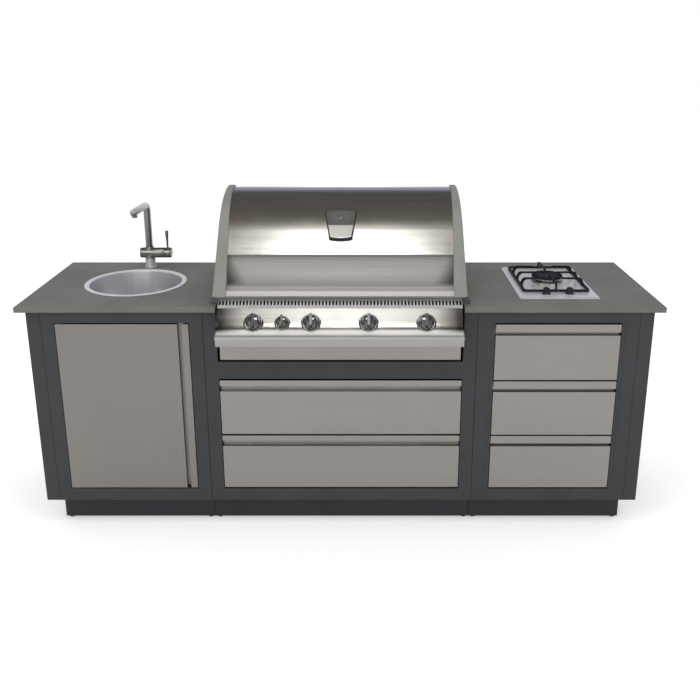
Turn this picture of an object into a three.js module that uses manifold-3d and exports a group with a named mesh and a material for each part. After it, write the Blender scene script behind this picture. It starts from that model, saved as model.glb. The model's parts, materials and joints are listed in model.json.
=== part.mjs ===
// Outdoor kitchen island: a sink cabinet, a grill cabinet and a drawer cabinet under one worktop line.
// Millimetres. X runs to the right along the front, Y to the back and Z up from the floor.
// Sizes in Y count from the front edge of the worktop; the last lines centre the island on its own box.
import * as THREE from "three";
import { mergeVertices } from "three/addons/utils/BufferGeometryUtils.js";
import Module from "manifold-3d";

const wasm = await Module();
wasm.setup();

// Whole island
const worktopHeight = 900;
const worktopDepth = 660;
const slabThickness = 20;
const slabChamfer = 2;
const sideOverhang = 34;
const frontOverhang = 20;
const rearOverhang = 15;
const grillModuleMargin = 73;
const sideModuleWidth = 595;
const endPanelThickness = 50;
const seamGap = 1.2;
const sheet = 2;
const touchGap = 0.3;
const overrun = 5;
const weldDistance = 0.001;

// How finely round forms are faceted, as numbers of sides
const wideSides = 36;
const roundSides = 24;
const knobSides = 20;
const smallSides = 12;
const wireSides = 6;
const filletSteps = 4;
const fingerSteps = 5;
const spoutSteps = 22;

// Plinths and feet
const footHeight = 8;
const footRadius = 12;
const plinthHeight = 97;
const plinthSetback = 45;
const plinthRearSetback = 60;
const footInset = 18;

// Face frames
const stileWidth = 50;
const topRailHeight = 45;
const bottomRailHeight = 50;
const frameDepth = 20;
const grillRailHeight = 68;
const grillRailDrop = 217;
const linerSetback = 1.5;

// Carcasses
const topFlangeWidth = 25;
const servicePortRadius = 60;
const servicePortHeight = 330;

// Fronts with a grip groove
const frontReturn = 18;
const grooveDepth = 20;
const lipWall = 4;
const lipChamfer = 1;
const grooveRoof = 3;
const grooveFloor = 3;
const doorLip = 26;
const doorGroove = 15;
const wideLip = 23;
const wideGroove = 21;
const narrowLip = 31;
const narrowGroove = 12;
const doorSideGap = 2.5;
const doorEndGap = 5;
const wideDrawerGap = 7;
const narrowDrawerGap = 6;
const narrowDrawerWidth = 460;

// Door pivots
const pivotInset = 14;
const pivotBack = 7;
const pivotPinRadius = 3;
const pivotPinLength = 18;
const pivotPlateThickness = 3;
const pivotPlateLength = 34;
const pivotBlockLength = 26;
const pivotBlockHeight = 20;

// Drawer boxes and runners
const drawerBoxDepth = 520;
const boxSideGap = 15;
const boxTopDrop = 34;
const boxBottomRise = 16;
const runnerFlange = 12;
const runnerLap = 9;
const runnerPlay = 0.4;
const runnerHeadroom = 4;
const runnerStopGap = 20;

// Sink
const sinkOffset = 5;
const sinkTapGap = 21;
const sinkRimRadius = 199;
const sinkRimWidth = 20;
const sinkRimRise = 3.1;
const sinkDepth = 172;
const sinkWallTaper = 8;
const sinkFloorFillet = 45;
const sinkHoleClearance = 3;
const drainRadius = 40;
const wasteFlangeLap = 5;
const wasteNutHeight = 12;
const wasteNeckRadius = 30;
const trapRadius = 34;
const trapLength = 96;
const trapDrop = 60;
const trapOutletLength = 90;
const strainerHoleRadius = 3.5;
const strainerHoles = 6;

// Mixer tap
const tapBackMargin = 79;
const tapBaseRadius = 25;
const tapBaseHeight = 6;
const tapPedestalRadius = 21;
const tapBarrelRadius = 21.5;
const tapBarrelHeight = 63;
const tapBarrelLeft = 38;
const tapBarrelRight = 62;
const tapHandleLength = 30;
const tapHandleGroove = 2;
const tapShankRadius = 16;
const tapShankLength = 55;
const tapCollarRadius = 17.5;
const tapCollarRise = 6;
const spoutRadius = 14.5;
const spoutHeight = 284;
const spoutReach = 112;
const spoutDroop = THREE.MathUtils.degToRad(8);
const spoutRestTurn = THREE.MathUtils.degToRad(-16);
const spoutBend = 18;
const aeratorRadius = 11;
const aeratorLength = 8;
const leverLength = 84;
const leverFootRadius = 4;
const leverTipRadius = 7.4;
const leverBall = 4.6;

// Hob
const hobOffset = 5;
const hobCentreDepth = 334;
const hobSideMargin = 22;
const hobFrontMargin = 67;
const hobRearMargin = 27;
const hobRise = 5.5;
const hobBevel = 8;
const hobCorner = 8;
const hobWellSideInset = 12;
const hobWellEndInset = 23;
const hobWellSink = 4.5;
const hobBoxDepth = 48;
const hobCutoutLap = 20;
const hobKnobSpread = 44;
const hobKnobGap = 3;
const hobKnobRadius = 17;
const hobKnobHeight = 24;
const hobKnobBodyShare = 0.8;
const hobKnobNeckShare = 0.92;
const hobStemRadius = 4;
const burnerRadius = 62;
const burnerThroatRadius = 38;
const burnerHeight = 18;
const burnerNotches = 12;
const burnerCrownShare = 0.6;
const burnerCapRadius = 61;
const burnerCapHeight = 12;
const grateWidth = 256;
const grateDepth = 358;
const grateBar = 9;
const grateRise = 8;
const grateThickness = 8;
const grateFingerRise = 25;
const grateFingerThickness = 6;
const grateFingerDepth = 7;
const grateFingerShares = [-0.25, 0, 0.25];

// Grill head: control panel
const panelSideReach = 13;
const cutoutGap = 8;
const rearStripWidth = 62;
const panelTopRise = 29;
const panelTopBack = 40;
const slotEdgeDrop = 3;
const troughReach = 80;
const troughDrop = 79;
const troughSag = 18;
const lipReach = 88;
const lipRound = 12;
const lipHeight = 36;
const panelReturn = 60;
const slotPitch = 12.5;
const slotWidth = 6;
const slotLength = 21;
const knobTilt = THREE.MathUtils.degToRad(42);
const knobPitch = 208;
const bezelRadius = 35;
const bezelWidth = 8;
const bezelHeight = 9;
const knobSkirtHeight = 8;
const knobHeight = 27;
const knobGripWidth = 12;
const knobGripRise = 9;
const knobPlaceShares = [-1.5, -0.5, 0.5, 1.5];
const knobBodyShare = 0.86;
const knobCrownShare = 0.8;
const smallKnobShare = 0.78;
const stemRadius = 4;
const stemLength = 20;
const valveRadius = 13;
const manifoldPipeRadius = 11;
const manifoldBack = 58;
const spudRadius = 6;

// Grill head: firebox
const flangeLap = 27;
const flangeThickness = 3;
const flangeFront = 50;
const flangeRearLap = 14;
const fireboxWidth = 864;
const fireboxFront = 78;
const fireboxBackMargin = 83;
const fireboxWall = 3;
const fireboxRim = 30;
const fireboxSideBottom = 115;
const fireboxKeel = 135;
const greaseSlotWidth = 120;
const greaseSlotDepth = 350;
const backWallRise = 90;
const ledgeWidth = 12;
const ledgeThickness = 3.5;
const gridLevel = 7;
const tamerLevel = 50;
const burnerLevel = 90;
const tubeRadius = 14;
const tubeWall = 2;
const tubeMouth = 20;
const tubeRearGap = 32;
const tubePorts = 7;
const tamerRidge = 60;
const tamerRidgeRise = 30;
const gridRodRadius = 4;
const gridRods = 12;
const gridGap = 3;
const gridCount = 3;
const rackRise = 150;
const rackDepth = 120;
const rackSideGap = 42;
const rackRodRadius = 3;
const rackRods = 7;
const rackRodShare = 0.8;
const rearBurnerWidth = 400;
const rearBurnerHeight = 60;
const rearBurnerDepth = 22;
const rearBurnerRise = 25;
const earThickness = 6;
const earWidth = 40;
const hingePinRadius = 6;
const hingeBack = 35;
const hingeRise = 65;

// Grease tray under the firebox
const apronDrop = 122;
const apronHeight = 85;
const apronSetback = 5;
const traySideGap = 11;
const trayDepth = 530;
const trayWallHeight = 33;
const trayFloorRise = 7;
const trayFlange = 14;

// Lid
const lidSideReach = 29;
const lidTopRise = 365;
const lidBottomRise = 40;
const lidBackSetback = 60;
const lidFrontSetback = 13.9;
const lidArcShare = 0.6705;
const lidRearRadius = 60;
const lidRake = THREE.MathUtils.degToRad(46);
const capPlate = 6;
const capRim = 8;
const capRimFront = 48;
const capRimTaperShare = 0.052;
const hingeBossRadius = 14;
const skinThickness = 2.5;
const skinBackRise = 100;
const gripStart = 28;
const gripEnd = 173;
const gripDepth = 40;
const gripFloorShare = 1.1;
const gripLip = 20;
const gripLipHem = 14;
const gaugeWidth = 121;
const gaugeFootWidth = 88;
const gaugeHeight = 140;
const gaugeThickness = 9;
const gaugeDialRadius = 44;
const gaugeDialSink = 3;
const gaugeLean = THREE.MathUtils.degToRad(42);
const gaugeStemRadius = 5;
const gaugeStemLength = 42;

// Places worked out from the sizes
const bodyBottom = footHeight + plinthHeight;
const bodyTop = worktopHeight - slabThickness;
const frontPlane = frontOverhang;
const frameBack = frontPlane + frameDepth;
const carcassBack = worktopDepth - rearOverhang;
const fireboxDepth = worktopDepth - fireboxFront - fireboxBackMargin;
const cutoutDepth = worktopDepth - rearStripWidth;
const tapDepth = worktopDepth - tapBackMargin;
const sinkCentreDepth = tapDepth - tapBaseRadius - sinkTapGap - sinkRimRadius;
const grillHalf = fireboxWidth / 2 + grillModuleMargin;
const bodyHalf = grillHalf + sideModuleWidth + endPanelThickness;
const worktopHalf = bodyHalf + sideOverhang;
const panelHalf = fireboxWidth / 2 + panelSideReach;
const cutoutHalf = panelHalf + cutoutGap;
const slabCentre = (worktopHalf + cutoutHalf) / 2;
const sinkModule = [-grillHalf - sideModuleWidth, -grillHalf];
const grillModule = [-grillHalf, grillHalf];
const drawerModule = [grillHalf, grillHalf + sideModuleWidth];
const openingBottom = bodyBottom + bottomRailHeight;
const openingTop = bodyTop - topRailHeight;
const grillRailTop = worktopHeight - grillRailDrop;
const apronTop = worktopHeight - apronDrop;
const lidHalf = fireboxWidth / 2 + lidSideReach;
const trayHalfWidth = fireboxWidth / 2 - traySideGap;
const slotCount = Math.floor(2 * panelHalf / slotPitch);
const hobWidth = grateWidth + 2 * hobSideMargin;
const hobDepth = grateDepth + hobFrontMargin + hobRearMargin;
const hobWellShift = (hobFrontMargin - hobRearMargin) / 2;
const hobKnobInset = hobFrontMargin - hobKnobGap - hobKnobRadius;
const axisX = new THREE.Vector3(1, 0, 0);
const axisY = new THREE.Vector3(0, 1, 0);
const axisZ = new THREE.Vector3(0, 0, 1);

const island = new THREE.Group();
const finishes = {
  stone: { color: 0x72736d, roughness: 0.75, metalness: 0 },
  anthracite: { color: 0x434547, roughness: 0.6, metalness: 0.1 },
  plinthGrey: { color: 0x343536, roughness: 0.7, metalness: 0.1 },
  brushedSteel: { color: 0x9c9892, roughness: 0.38, metalness: 1 },
  brightSteel: { color: 0xc9c8c4, roughness: 0.2, metalness: 1 },
  castGrey: { color: 0x8a8b83, roughness: 0.5, metalness: 0.6 },
  galvanised: { color: 0x8f9294, roughness: 0.5, metalness: 0.8 },
  blackEnamel: { color: 0x1b1b1c, roughness: 0.45, metalness: 0.2 },
  brass: { color: 0xa9935c, roughness: 0.4, metalness: 1 },
};

// Solids, joins and cuts

// Corners that should be the same, or lie in one plane, are made exactly so.
function solidOf(geometry) {
  const values = geometry.attributes.position.array;
  for (let i = 0; i < values.length; i += 1) {
    values[i] = Math.round(values[i] / weldDistance) * weldDistance;
  }
  return welded(geometry);
}

function welded(geometry) {
  const bare = geometry.clone();
  for (const name of Object.keys(bare.attributes)) {
    if (name !== "position") bare.deleteAttribute(name);
  }
  const merged = mergeVertices(bare, weldDistance);
  const corners = merged.index.array;
  const kept = [];
  for (let i = 0; i < corners.length; i += 3) {
    const [a, b, c] = [corners[i], corners[i + 1], corners[i + 2]];
    if (a !== b && b !== c && c !== a) kept.push(a, b, c);
  }
  const vertProperties = merged.attributes.position.array;
  return new wasm.Manifold(
    new wasm.Mesh({ numProp: 3, vertProperties, triVerts: new Uint32Array(kept) }),
  );
}

function geometryOf(solid) {
  const mesh = solid.getMesh();
  const geometry = new THREE.BufferGeometry();
  geometry.setAttribute("position", new THREE.BufferAttribute(mesh.vertProperties, 3));
  geometry.setIndex(new THREE.BufferAttribute(mesh.triVerts, 1));
  geometry.computeVertexNormals();
  return geometry;
}

function join(...solids) {
  return solids.reduce((whole, next) => whole.add(next));
}

function cut(body, ...tools) {
  return tools.reduce((rest, tool) => rest.subtract(tool), body);
}

function moved(solid, matrix) {
  return welded(geometryOf(solid).applyMatrix4(matrix));
}

function piece(name, solid, finish, parent = island) {
  const clean = solid.asOriginal().simplify(weldDistance);
  const mesh = new THREE.Mesh(geometryOf(clean), new THREE.MeshStandardMaterial(finishes[finish]));
  mesh.name = name;
  parent.add(mesh);
  return mesh;
}

// Ranges are [from, to] pairs.

function outset(range, by) {
  return [range[0] - by, range[1] + by];
}

function inset(range, by) {
  return outset(range, -by);
}

function mirrorRange(side, from, to) {
  return side > 0 ? [from, to] : [-to, -from];
}

function middle(range) {
  return (range[0] + range[1]) / 2;
}

function block(x, y, z) {
  const box = new THREE.BoxGeometry(x[1] - x[0], y[1] - y[0], z[1] - z[0]);
  box.translate(middle(x), middle(y), middle(z));
  return solidOf(box);
}

// Outlines are lists of points. An outline along X holds (y, z), along Y (x, z) and along Z (x, y).

function extrude(points, length) {
  const shape = new THREE.Shape(points.map(([a, b]) => new THREE.Vector2(a, b)));
  return new THREE.ExtrudeGeometry(shape, { depth: length, bevelEnabled: false });
}

function extrudeAlongX(points, [from, to]) {
  const geometry = extrude(points, to - from);
  geometry.applyMatrix4(new THREE.Matrix4().makeBasis(axisY, axisZ, axisX));
  geometry.translate(from, 0, 0);
  return solidOf(geometry);
}

function extrudeAlongY(points, [from, to]) {
  const geometry = extrude(points, to - from);
  geometry.applyMatrix4(new THREE.Matrix4().makeBasis(axisX, axisZ, axisY.clone().negate()));
  geometry.translate(0, to, 0);
  return solidOf(geometry);
}

function extrudeAlongZ(points, [from, to]) {
  const geometry = extrude(points, to - from);
  geometry.translate(0, 0, from);
  return solidOf(geometry);
}

function signedArea(points) {
  return points.reduce((sum, [a, b], i) => {
    const [c, d] = points[(i + 1) % points.length];
    return sum + (a * d - c * b) / 2;
  }, 0);
}

// Turns (radius, height) points round the Z axis; the profile ends on the axis or closes on itself.
function revolve(points, segments) {
  const closed = points[0][0] > 0;
  const ordered = signedArea(points) > 0 ? points : [...points].reverse();
  const profile = ordered.map(([r, h]) => new THREE.Vector2(r, h));
  if (closed) profile.push(profile[0].clone());
  const geometry = new THREE.LatheGeometry(profile, segments);
  geometry.rotateX(Math.PI / 2);
  return solidOf(geometry);
}

function rod(radius, [from, to], segments) {
  return revolve([[0, from], [radius, from], [radius, to], [0, to]], segments);
}

function rodAlong(axis, radius, range, at, segments) {
  const turn = new THREE.Matrix4().makeRotationFromQuaternion(
    new THREE.Quaternion().setFromUnitVectors(axisZ, axis),
  );
  return moved(rod(radius, range, segments), turn.setPosition(...at));
}

function circle(radius, sides) {
  return Array.from({ length: sides }, (_, i) => {
    const angle = (i / sides) * 2 * Math.PI;
    return [radius * Math.cos(angle), radius * Math.sin(angle)];
  });
}

function arc([cx, cy], radius, from, to, steps) {
  return Array.from({ length: steps + 1 }, (_, i) => {
    const angle = from + ((to - from) * i) / steps;
    return [cx + radius * Math.cos(angle), cy + radius * Math.sin(angle)];
  });
}

function bezier(points, steps) {
  const [a, b, c, d] = points.map(([x, y]) => new THREE.Vector2(x, y));
  return new THREE.CubicBezierCurve(a, b, c, d).getPoints(steps).map((p) => [p.x, p.y]);
}

// The path moved sideways to its left by a distance, with mitred corners.
function offsetPath(path, by) {
  const along = path.slice(1).map(([x, y], i) => {
    const length = Math.hypot(x - path[i][0], y - path[i][1]);
    return [(x - path[i][0]) / length, (y - path[i][1]) / length];
  });
  return path.map(([x, y], i) => {
    const before = along[Math.max(i - 1, 0)];
    const after = along[Math.min(i, along.length - 1)];
    const grow = by / (1 + before[0] * after[0] + before[1] * after[1]);
    return [x - (before[1] + after[1]) * grow, y + (before[0] + after[0]) * grow];
  });
}

// A folded sheet: the path is one face, and the other lies to its left.
function wall(path, thickness) {
  return [...path, ...offsetPath(path, thickness).reverse()];
}

function tubeAlong(curve, radius, steps, sides) {
  const shape = new THREE.Shape(circle(radius, sides).map(([a, b]) => new THREE.Vector2(a, b)));
  return solidOf(new THREE.ExtrudeGeometry(shape, { steps, bevelEnabled: false, extrudePath: curve }));
}

// A rounded rectangle at one height, and a solid lofted through a stack of them
function roundedRing(halfX, halfY, corner, z, shiftY = 0, cornerSteps = 3) {
  const corners = [[1, -1], [1, 1], [-1, 1], [-1, -1]];
  return corners.flatMap(([sx, sy], i) => {
    const centre = [sx * (halfX - corner), sy * (halfY - corner) + shiftY];
    const start = (i - 1) * (Math.PI / 2);
    return arc(centre, corner, start, start + Math.PI / 2, cornerSteps).map(([x, y]) => [x, y, z]);
  });
}

function loft(rings) {
  const count = rings[0].length;
  const index = [];
  for (let level = 0; level < rings.length - 1; level += 1) {
    for (let i = 0; i < count; i += 1) {
      const a = level * count + i;
      const b = level * count + ((i + 1) % count);
      index.push(a, b, b + count, a, b + count, a + count);
    }
  }
  const last = (rings.length - 1) * count;
  for (let i = 1; i < count - 1; i += 1) {
    index.push(0, i + 1, i, last, last + i, last + i + 1);
  }
  const geometry = new THREE.BufferGeometry();
  geometry.setAttribute("position", new THREE.Float32BufferAttribute(rings.flat(2), 3));
  geometry.setIndex(index);
  return solidOf(geometry);
}

// Cabinets

function moduleSpan(module) {
  return inset(module, seamGap / 2);
}

function frameRing(x, z) {
  const y = [frontPlane, frameBack];
  return cut(block(x, y, z), block(inset(x, sheet), outset(y, overrun), inset(z, sheet)));
}

// Stiles and rails in one folded sheet, turned back round its outside and round each opening
function faceFrame(module, openings) {
  const x = moduleSpan(module);
  const y = [frontPlane, frameBack];
  const z = [bodyBottom, bodyTop];
  const whole = block(x, y, z);
  const skins = [block(x, [frontPlane, frontPlane + sheet], z), frameRing(x, z)];
  for (const hole of openings) skins.push(block(outset(hole.x, sheet), y, outset(hole.z, sheet)));
  const holes = openings.map((hole) => block(hole.x, outset(y, overrun), hole.z));
  return cut(join(...skins), ...holes).intersect(whole);
}

// The runner for a box flange: a ledge that carries it, a web beside it and a lip that keeps it down
function runner(side, centre, boxHalf, flangeTop, wallX) {
  const y = [frameBack + runnerStopGap, frontPlane + grooveDepth + sheet + drawerBoxDepth];
  const ledgeTop = flangeTop - sheet - runnerPlay;
  const lipBottom = flangeTop + runnerHeadroom;
  const webFrom = boxHalf + runnerFlange + runnerPlay;
  const reach = Math.abs(wallX - centre);
  const part = (from, to, z) => block(shifted(mirrorRange(side, from, to), centre), y, z);
  return join(
    part(boxHalf + runnerFlange - runnerLap, reach, [ledgeTop - sheet, ledgeTop]),
    part(webFrom, webFrom + sheet, [ledgeTop - sheet, lipBottom + sheet]),
    part(boxHalf + runnerFlange - runnerLap, webFrom + sheet, [lipBottom, lipBottom + sheet]),
  );
}

function shifted(range, by) {
  return [range[0] + by, range[1] + by];
}

// A box open at the front and the top, with flanges that the worktop lies on and runners for its drawers
function carcass(module, drawers = []) {
  const x = moduleSpan(module);
  const y = [frameBack, carcassBack];
  const z = [bodyBottom, bodyTop];
  const hollow = block(inset(x, sheet), [y[0] - overrun, y[1] - sheet], [z[0] + sheet, z[1] + overrun]);
  const flangeZ = [z[1] - sheet, z[1]];
  const port = rodAlong(
    axisY, servicePortRadius, outset(y, overrun), [middle(x), 0, servicePortHeight], roundSides,
  );
  const portHalf = block(outset(x, overrun), [middle(y), y[1] + overrun], outset(z, overrun));
  const body = join(
    cut(block(x, y, z), hollow, port.intersect(portHalf)),
    block([x[0], x[0] + topFlangeWidth], y, flangeZ),
    block([x[1] - topFlangeWidth, x[1]], y, flangeZ),
    block(x, [y[1] - topFlangeWidth, y[1]], flangeZ),
  );
  const rails = drawers.flatMap(({ centre, boxHalf, boxTop }) => [
    runner(-1, centre, boxHalf, boxTop, x[0] + sheet),
    runner(1, centre, boxHalf, boxTop, x[1] - sheet),
  ]);
  return join(body, ...rails);
}

// Four walls with a corner gusset and a levelling foot under each corner
function plinth(module) {
  const x = moduleSpan(module);
  const y = [frontPlane + plinthSetback, carcassBack - plinthRearSetback];
  const z = [footHeight, bodyBottom];
  let base = cut(block(x, y, z), block(inset(x, sheet), inset(y, sheet), outset(z, overrun)));
  for (const footX of inset(x, footInset)) {
    for (const footY of inset(y, footInset)) {
      const pad = [[footX - footInset, footX + footInset], [footY - footInset, footY + footInset]];
      const foot = rodAlong(axisZ, footRadius, [0, footHeight + sheet], [footX, footY, 0], smallSides);
      base = join(base, block(pad[0], pad[1], [footHeight, footHeight + sheet]), foot);
    }
  }
  return base;
}

function endPanel(side) {
  const x = mirrorRange(side, bodyHalf - endPanelThickness, bodyHalf);
  const y = [frontPlane, carcassBack];
  const z = [bodyBottom, bodyTop];
  const hollowX = mirrorRange(side, bodyHalf - endPanelThickness - overrun, bodyHalf - sheet);
  return cut(block(x, y, z), block(hollowX, inset(y, sheet), inset(z, sheet)));
}

// Fronts. The outline holds (distance into the cabinet, distance from the grip edge). Its lower part is
// solid here, and is hollowed from behind into a tray.

function gripOutline(length, lip, groove) {
  const low = lip + groove;
  const back = grooveDepth + sheet;
  return [
    [lipChamfer, 0], [0, lipChamfer], [0, lip - lipChamfer], [lipChamfer, lip], [lipWall, lip],
    [lipWall, grooveRoof], [grooveDepth, grooveRoof], [grooveDepth, low], [0, low],
    [0, length], [frontReturn, length], [frontReturn, low + sheet], [back, low + sheet], [back, 0],
  ];
}

function drawerFront(x, z, lip, groove) {
  const outline = gripOutline(z[1] - z[0], lip, groove).map(([w, u]) => [frontPlane + w, z[1] - u]);
  const hollowZ = [z[0] + sheet, z[1] - lip - groove - grooveFloor];
  return cut(extrudeAlongX(outline, x), block(inset(x, sheet), hollowDepth(), hollowZ));
}

function hollowDepth() {
  return [frontPlane + sheet, frontPlane + frontReturn + overrun];
}

function drawerBox(centre, boxHalf, z) {
  const x = [centre - boxHalf, centre + boxHalf];
  const front = frontPlane + grooveDepth + sheet + touchGap;
  const y = [front, front + drawerBoxDepth];
  const hollow = block(inset(x, sheet), inset(y, sheet), [z[0] + sheet, z[1] + overrun]);
  const flangeY = [frameBack + runnerStopGap, y[1]];
  const flanges = block(outset(x, runnerFlange), flangeY, [z[1] - sheet, z[1]]);
  const between = block(inset(x, sheet), outset(flangeY, overrun), outset(z, overrun));
  return join(cut(block(x, y, z), hollow), cut(flanges, between));
}

function buildDrawer(name, x, z, lip, groove) {
  const plan = drawerPlan(x, z);
  piece(name + "_front", drawerFront(x, z, lip, groove), "brushedSteel");
  const boxZ = [z[0] + boxBottomRise, plan.boxTop];
  piece(name + "_box", drawerBox(plan.centre, plan.boxHalf, boxZ), "galvanised");
}

function drawerPlan(x, z) {
  return { centre: middle(x), boxHalf: (x[1] - x[0]) / 2 - boxSideGap, boxTop: z[1] - boxTopDrop };
}

function stackOf(count, [bottom, top], gap) {
  const height = (top - bottom - (count + 1) * gap) / count;
  return Array.from({ length: count }, (_, i) => {
    const low = bottom + gap + i * (height + gap);
    return [low, low + height];
  });
}

// Sink cabinet

function doorLayout() {
  const opening = inset(sinkModule, stileWidth);
  return {
    opening,
    x: inset(opening, doorSideGap),
    z: [openingBottom + doorEndGap, openingTop - doorEndGap],
  };
}

function doorPivot({ x }) {
  return [x[0] + pivotInset, frontPlane + pivotBack];
}

function sinkDoor(layout) {
  const { x, z } = layout;
  const [pivotX, pivotY] = doorPivot(layout);
  const length = x[1] - x[0];
  const outline = gripOutline(length, doorLip, doorGroove).map(([w, u]) => [x[1] - u, frontPlane + w]);
  const hollowX = [x[0] + sheet, x[1] - doorLip - doorGroove - grooveFloor];
  const hollow = block(hollowX, hollowDepth(), inset(z, sheet));
  const blockX = [x[0], x[0] + sheet + pivotBlockLength];
  const blockY = outset(hollowDepth(), overrun);
  const bushTop = block(blockX, blockY, [z[1] - pivotBlockHeight, z[1]]);
  const bushBottom = block(blockX, blockY, [z[0], z[0] + pivotBlockHeight]);
  const bore = rodAlong(
    axisZ, pivotPinRadius + touchGap, outset(z, overrun), [pivotX, pivotY, 0], smallSides,
  );
  return cut(extrudeAlongZ(outline, z), cut(hollow, bushTop, bushBottom), bore);
}

// A plate welded under the rail, or on it, with the pin that the door turns on
function pivotBracket(layout, railZ, doorZ) {
  const [pivotX, pivotY] = doorPivot(layout);
  const up = railZ > doorZ ? -1 : 1;
  const plateZ = [railZ - (up * sheet) / 2, railZ + up * pivotPlateThickness].sort((a, b) => a - b);
  const pinZ = [railZ, doorZ + up * pivotPinLength].sort((a, b) => a - b);
  const plateX = [layout.opening[0], layout.opening[0] + pivotPlateLength];
  const plate = block(plateX, [frontPlane + sheet, frontPlane + frontReturn], plateZ);
  return join(plate, rodAlong(axisZ, pivotPinRadius, pinZ, [pivotX, pivotY, 0], smallSides));
}

function slab(x) {
  const [low, high] = [bodyTop, worktopHeight];
  const outline = [
    [0, low + slabChamfer], [slabChamfer, low], [worktopDepth - slabChamfer, low],
    [worktopDepth, low + slabChamfer], [worktopDepth, high - slabChamfer],
    [worktopDepth - slabChamfer, high], [slabChamfer, high], [0, high - slabChamfer],
  ];
  return extrudeAlongX(outline, x);
}

// The bowl is one pressed sheet: rim, wall, rounded floor and the drain hole.
function sinkBowl() {
  const mouth = sinkRimRadius - sinkRimWidth;
  const foot = mouth - sinkWallTaper;
  const floor = -sinkDepth;
  const round = arc(
    [foot - sinkFloorFillet, floor + sinkFloorFillet], sinkFloorFillet, 0, -Math.PI / 2, filletSteps,
  );
  const rimTop = sinkRimRise;
  const path = [
    [drainRadius, floor],
    ...[...round].reverse(),
    [mouth, -sheet],
    [mouth + sheet, rimTop],
    [sinkRimRadius - sheet, rimTop],
    [sinkRimRadius, rimTop - sheet / 2],
  ];
  return revolve(wall([...path].reverse(), sheet), wideSides);
}

// Strainer cup, back nut, tail and bottle trap with its outlet to the back
function sinkWaste() {
  const seat = -sinkDepth + touchGap;
  const under = -sinkDepth - sheet - touchGap;
  const neck = drainRadius - touchGap;
  const flange = drainRadius + wasteFlangeLap;
  const nutBottom = under - wasteNutHeight;
  const trapTop = nutBottom - trapDrop;
  const trapBottom = trapTop - trapLength;
  const cup = neck - 2 * sheet;
  const body = revolve([
    [0, trapBottom], [trapRadius - sheet, trapBottom],
    [trapRadius, trapBottom + sheet], [trapRadius, trapTop],
    [wasteNeckRadius / 2 + sheet, trapTop + sheet], [wasteNeckRadius / 2 + sheet, trapTop + trapDrop / 2],
    [wasteNeckRadius, trapTop + trapDrop / 2], [wasteNeckRadius, nutBottom], [flange + sheet, nutBottom],
    [flange + sheet, under], [neck, under], [neck, seat], [flange, seat], [flange - sheet, seat + sheet],
    [cup, seat + sheet], [cup - sheet, seat - wasteNutHeight], [0, seat - wasteNutHeight],
  ], knobSides);
  const outletRange = [0, trapOutletLength];
  const outletAt = [0, 0, trapTop - trapRadius];
  const outlet = rodAlong(axisY, wasteNeckRadius / 2, outletRange, outletAt, smallSides);
  const boreRange = [trapRadius, trapOutletLength + overrun];
  const bore = rodAlong(axisY, wasteNeckRadius / 2 - sheet, boreRange, outletAt, smallSides);
  const holes = Array.from({ length: strainerHoles }, (_, i) => {
    const angle = (i / strainerHoles) * 2 * Math.PI;
    const at = [(cup / 2) * Math.cos(angle), (cup / 2) * Math.sin(angle), seat - wasteNutHeight];
    return rodAlong(axisZ, strainerHoleRadius, [-strainerHoleRadius, overrun], at, wireSides);
  });
  return cut(join(body, outlet), bore, ...holes);
}

function tapBody() {
  const pedestal = revolve([
    [0, -tapShankLength], [tapShankRadius, -tapShankLength], [tapShankRadius, 0], [tapBaseRadius, 0],
    [tapBaseRadius, tapBaseHeight / 2], [tapBaseRadius - sheet, tapBaseHeight],
    [tapPedestalRadius, tapBaseHeight + sheet],
    [tapPedestalRadius, tapBarrelHeight], [0, tapBarrelHeight],
  ], roundSides);
  const nutTop = -slabThickness - touchGap;
  const nut = rod(tapBaseRadius, [nutTop - tapBaseHeight * 2, nutTop], wireSides);
  const collarTop = tapBarrelHeight + tapBarrelRadius + tapCollarRise;
  const collar = rod(tapCollarRadius, [tapBarrelHeight, collarTop], roundSides);
  return join(pedestal, nut, collar, barrel(-tapBarrelLeft, tapBarrelRight));
}

function barrel(from, to) {
  const edge = sheet / 2;
  const profile = [
    [0, from], [tapBarrelRadius - edge, from], [tapBarrelRadius, from + edge],
    [tapBarrelRadius, to - edge], [tapBarrelRadius - edge, to], [0, to],
  ];
  return alongX(revolve(profile, roundSides), tapBarrelHeight);
}

function alongX(solid, height) {
  const turn = new THREE.Matrix4().makeRotationY(Math.PI / 2);
  return moved(solid, turn.setPosition(0, 0, height));
}

function tapHandle() {
  const from = tapBarrelRight + runnerPlay;
  const to = from + tapHandleLength;
  const low = tapBarrelRadius - tapHandleGroove;
  const edge = sheet / 2;
  const grooveAt = to - 2 * tapHandleGroove - edge;
  const cap = alongX(revolve([
    [0, from], [tapBarrelRadius - edge, from],
    [tapBarrelRadius, from + edge], [tapBarrelRadius, grooveAt],
    [low, grooveAt], [low, grooveAt + tapHandleGroove], [tapBarrelRadius, grooveAt + tapHandleGroove],
    [tapBarrelRadius, to - edge], [tapBarrelRadius - edge, to], [0, to],
  ], roundSides), tapBarrelHeight);
  const slotX = [leverPivotX() - leverBall - touchGap, grooveAt];
  const slotFloor = leverPivotZ() - leverBall - touchGap;
  const slot = block(
    slotX, outset([0, 0], leverBall + touchGap), [slotFloor, slotFloor + tapBarrelRadius],
  );
  return cut(cap, slot);
}

function leverPivotX() {
  return tapBarrelRight + tapHandleLength / 2;
}

function leverPivotZ() {
  return tapBarrelHeight + tapBarrelRadius / 2;
}

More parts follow.
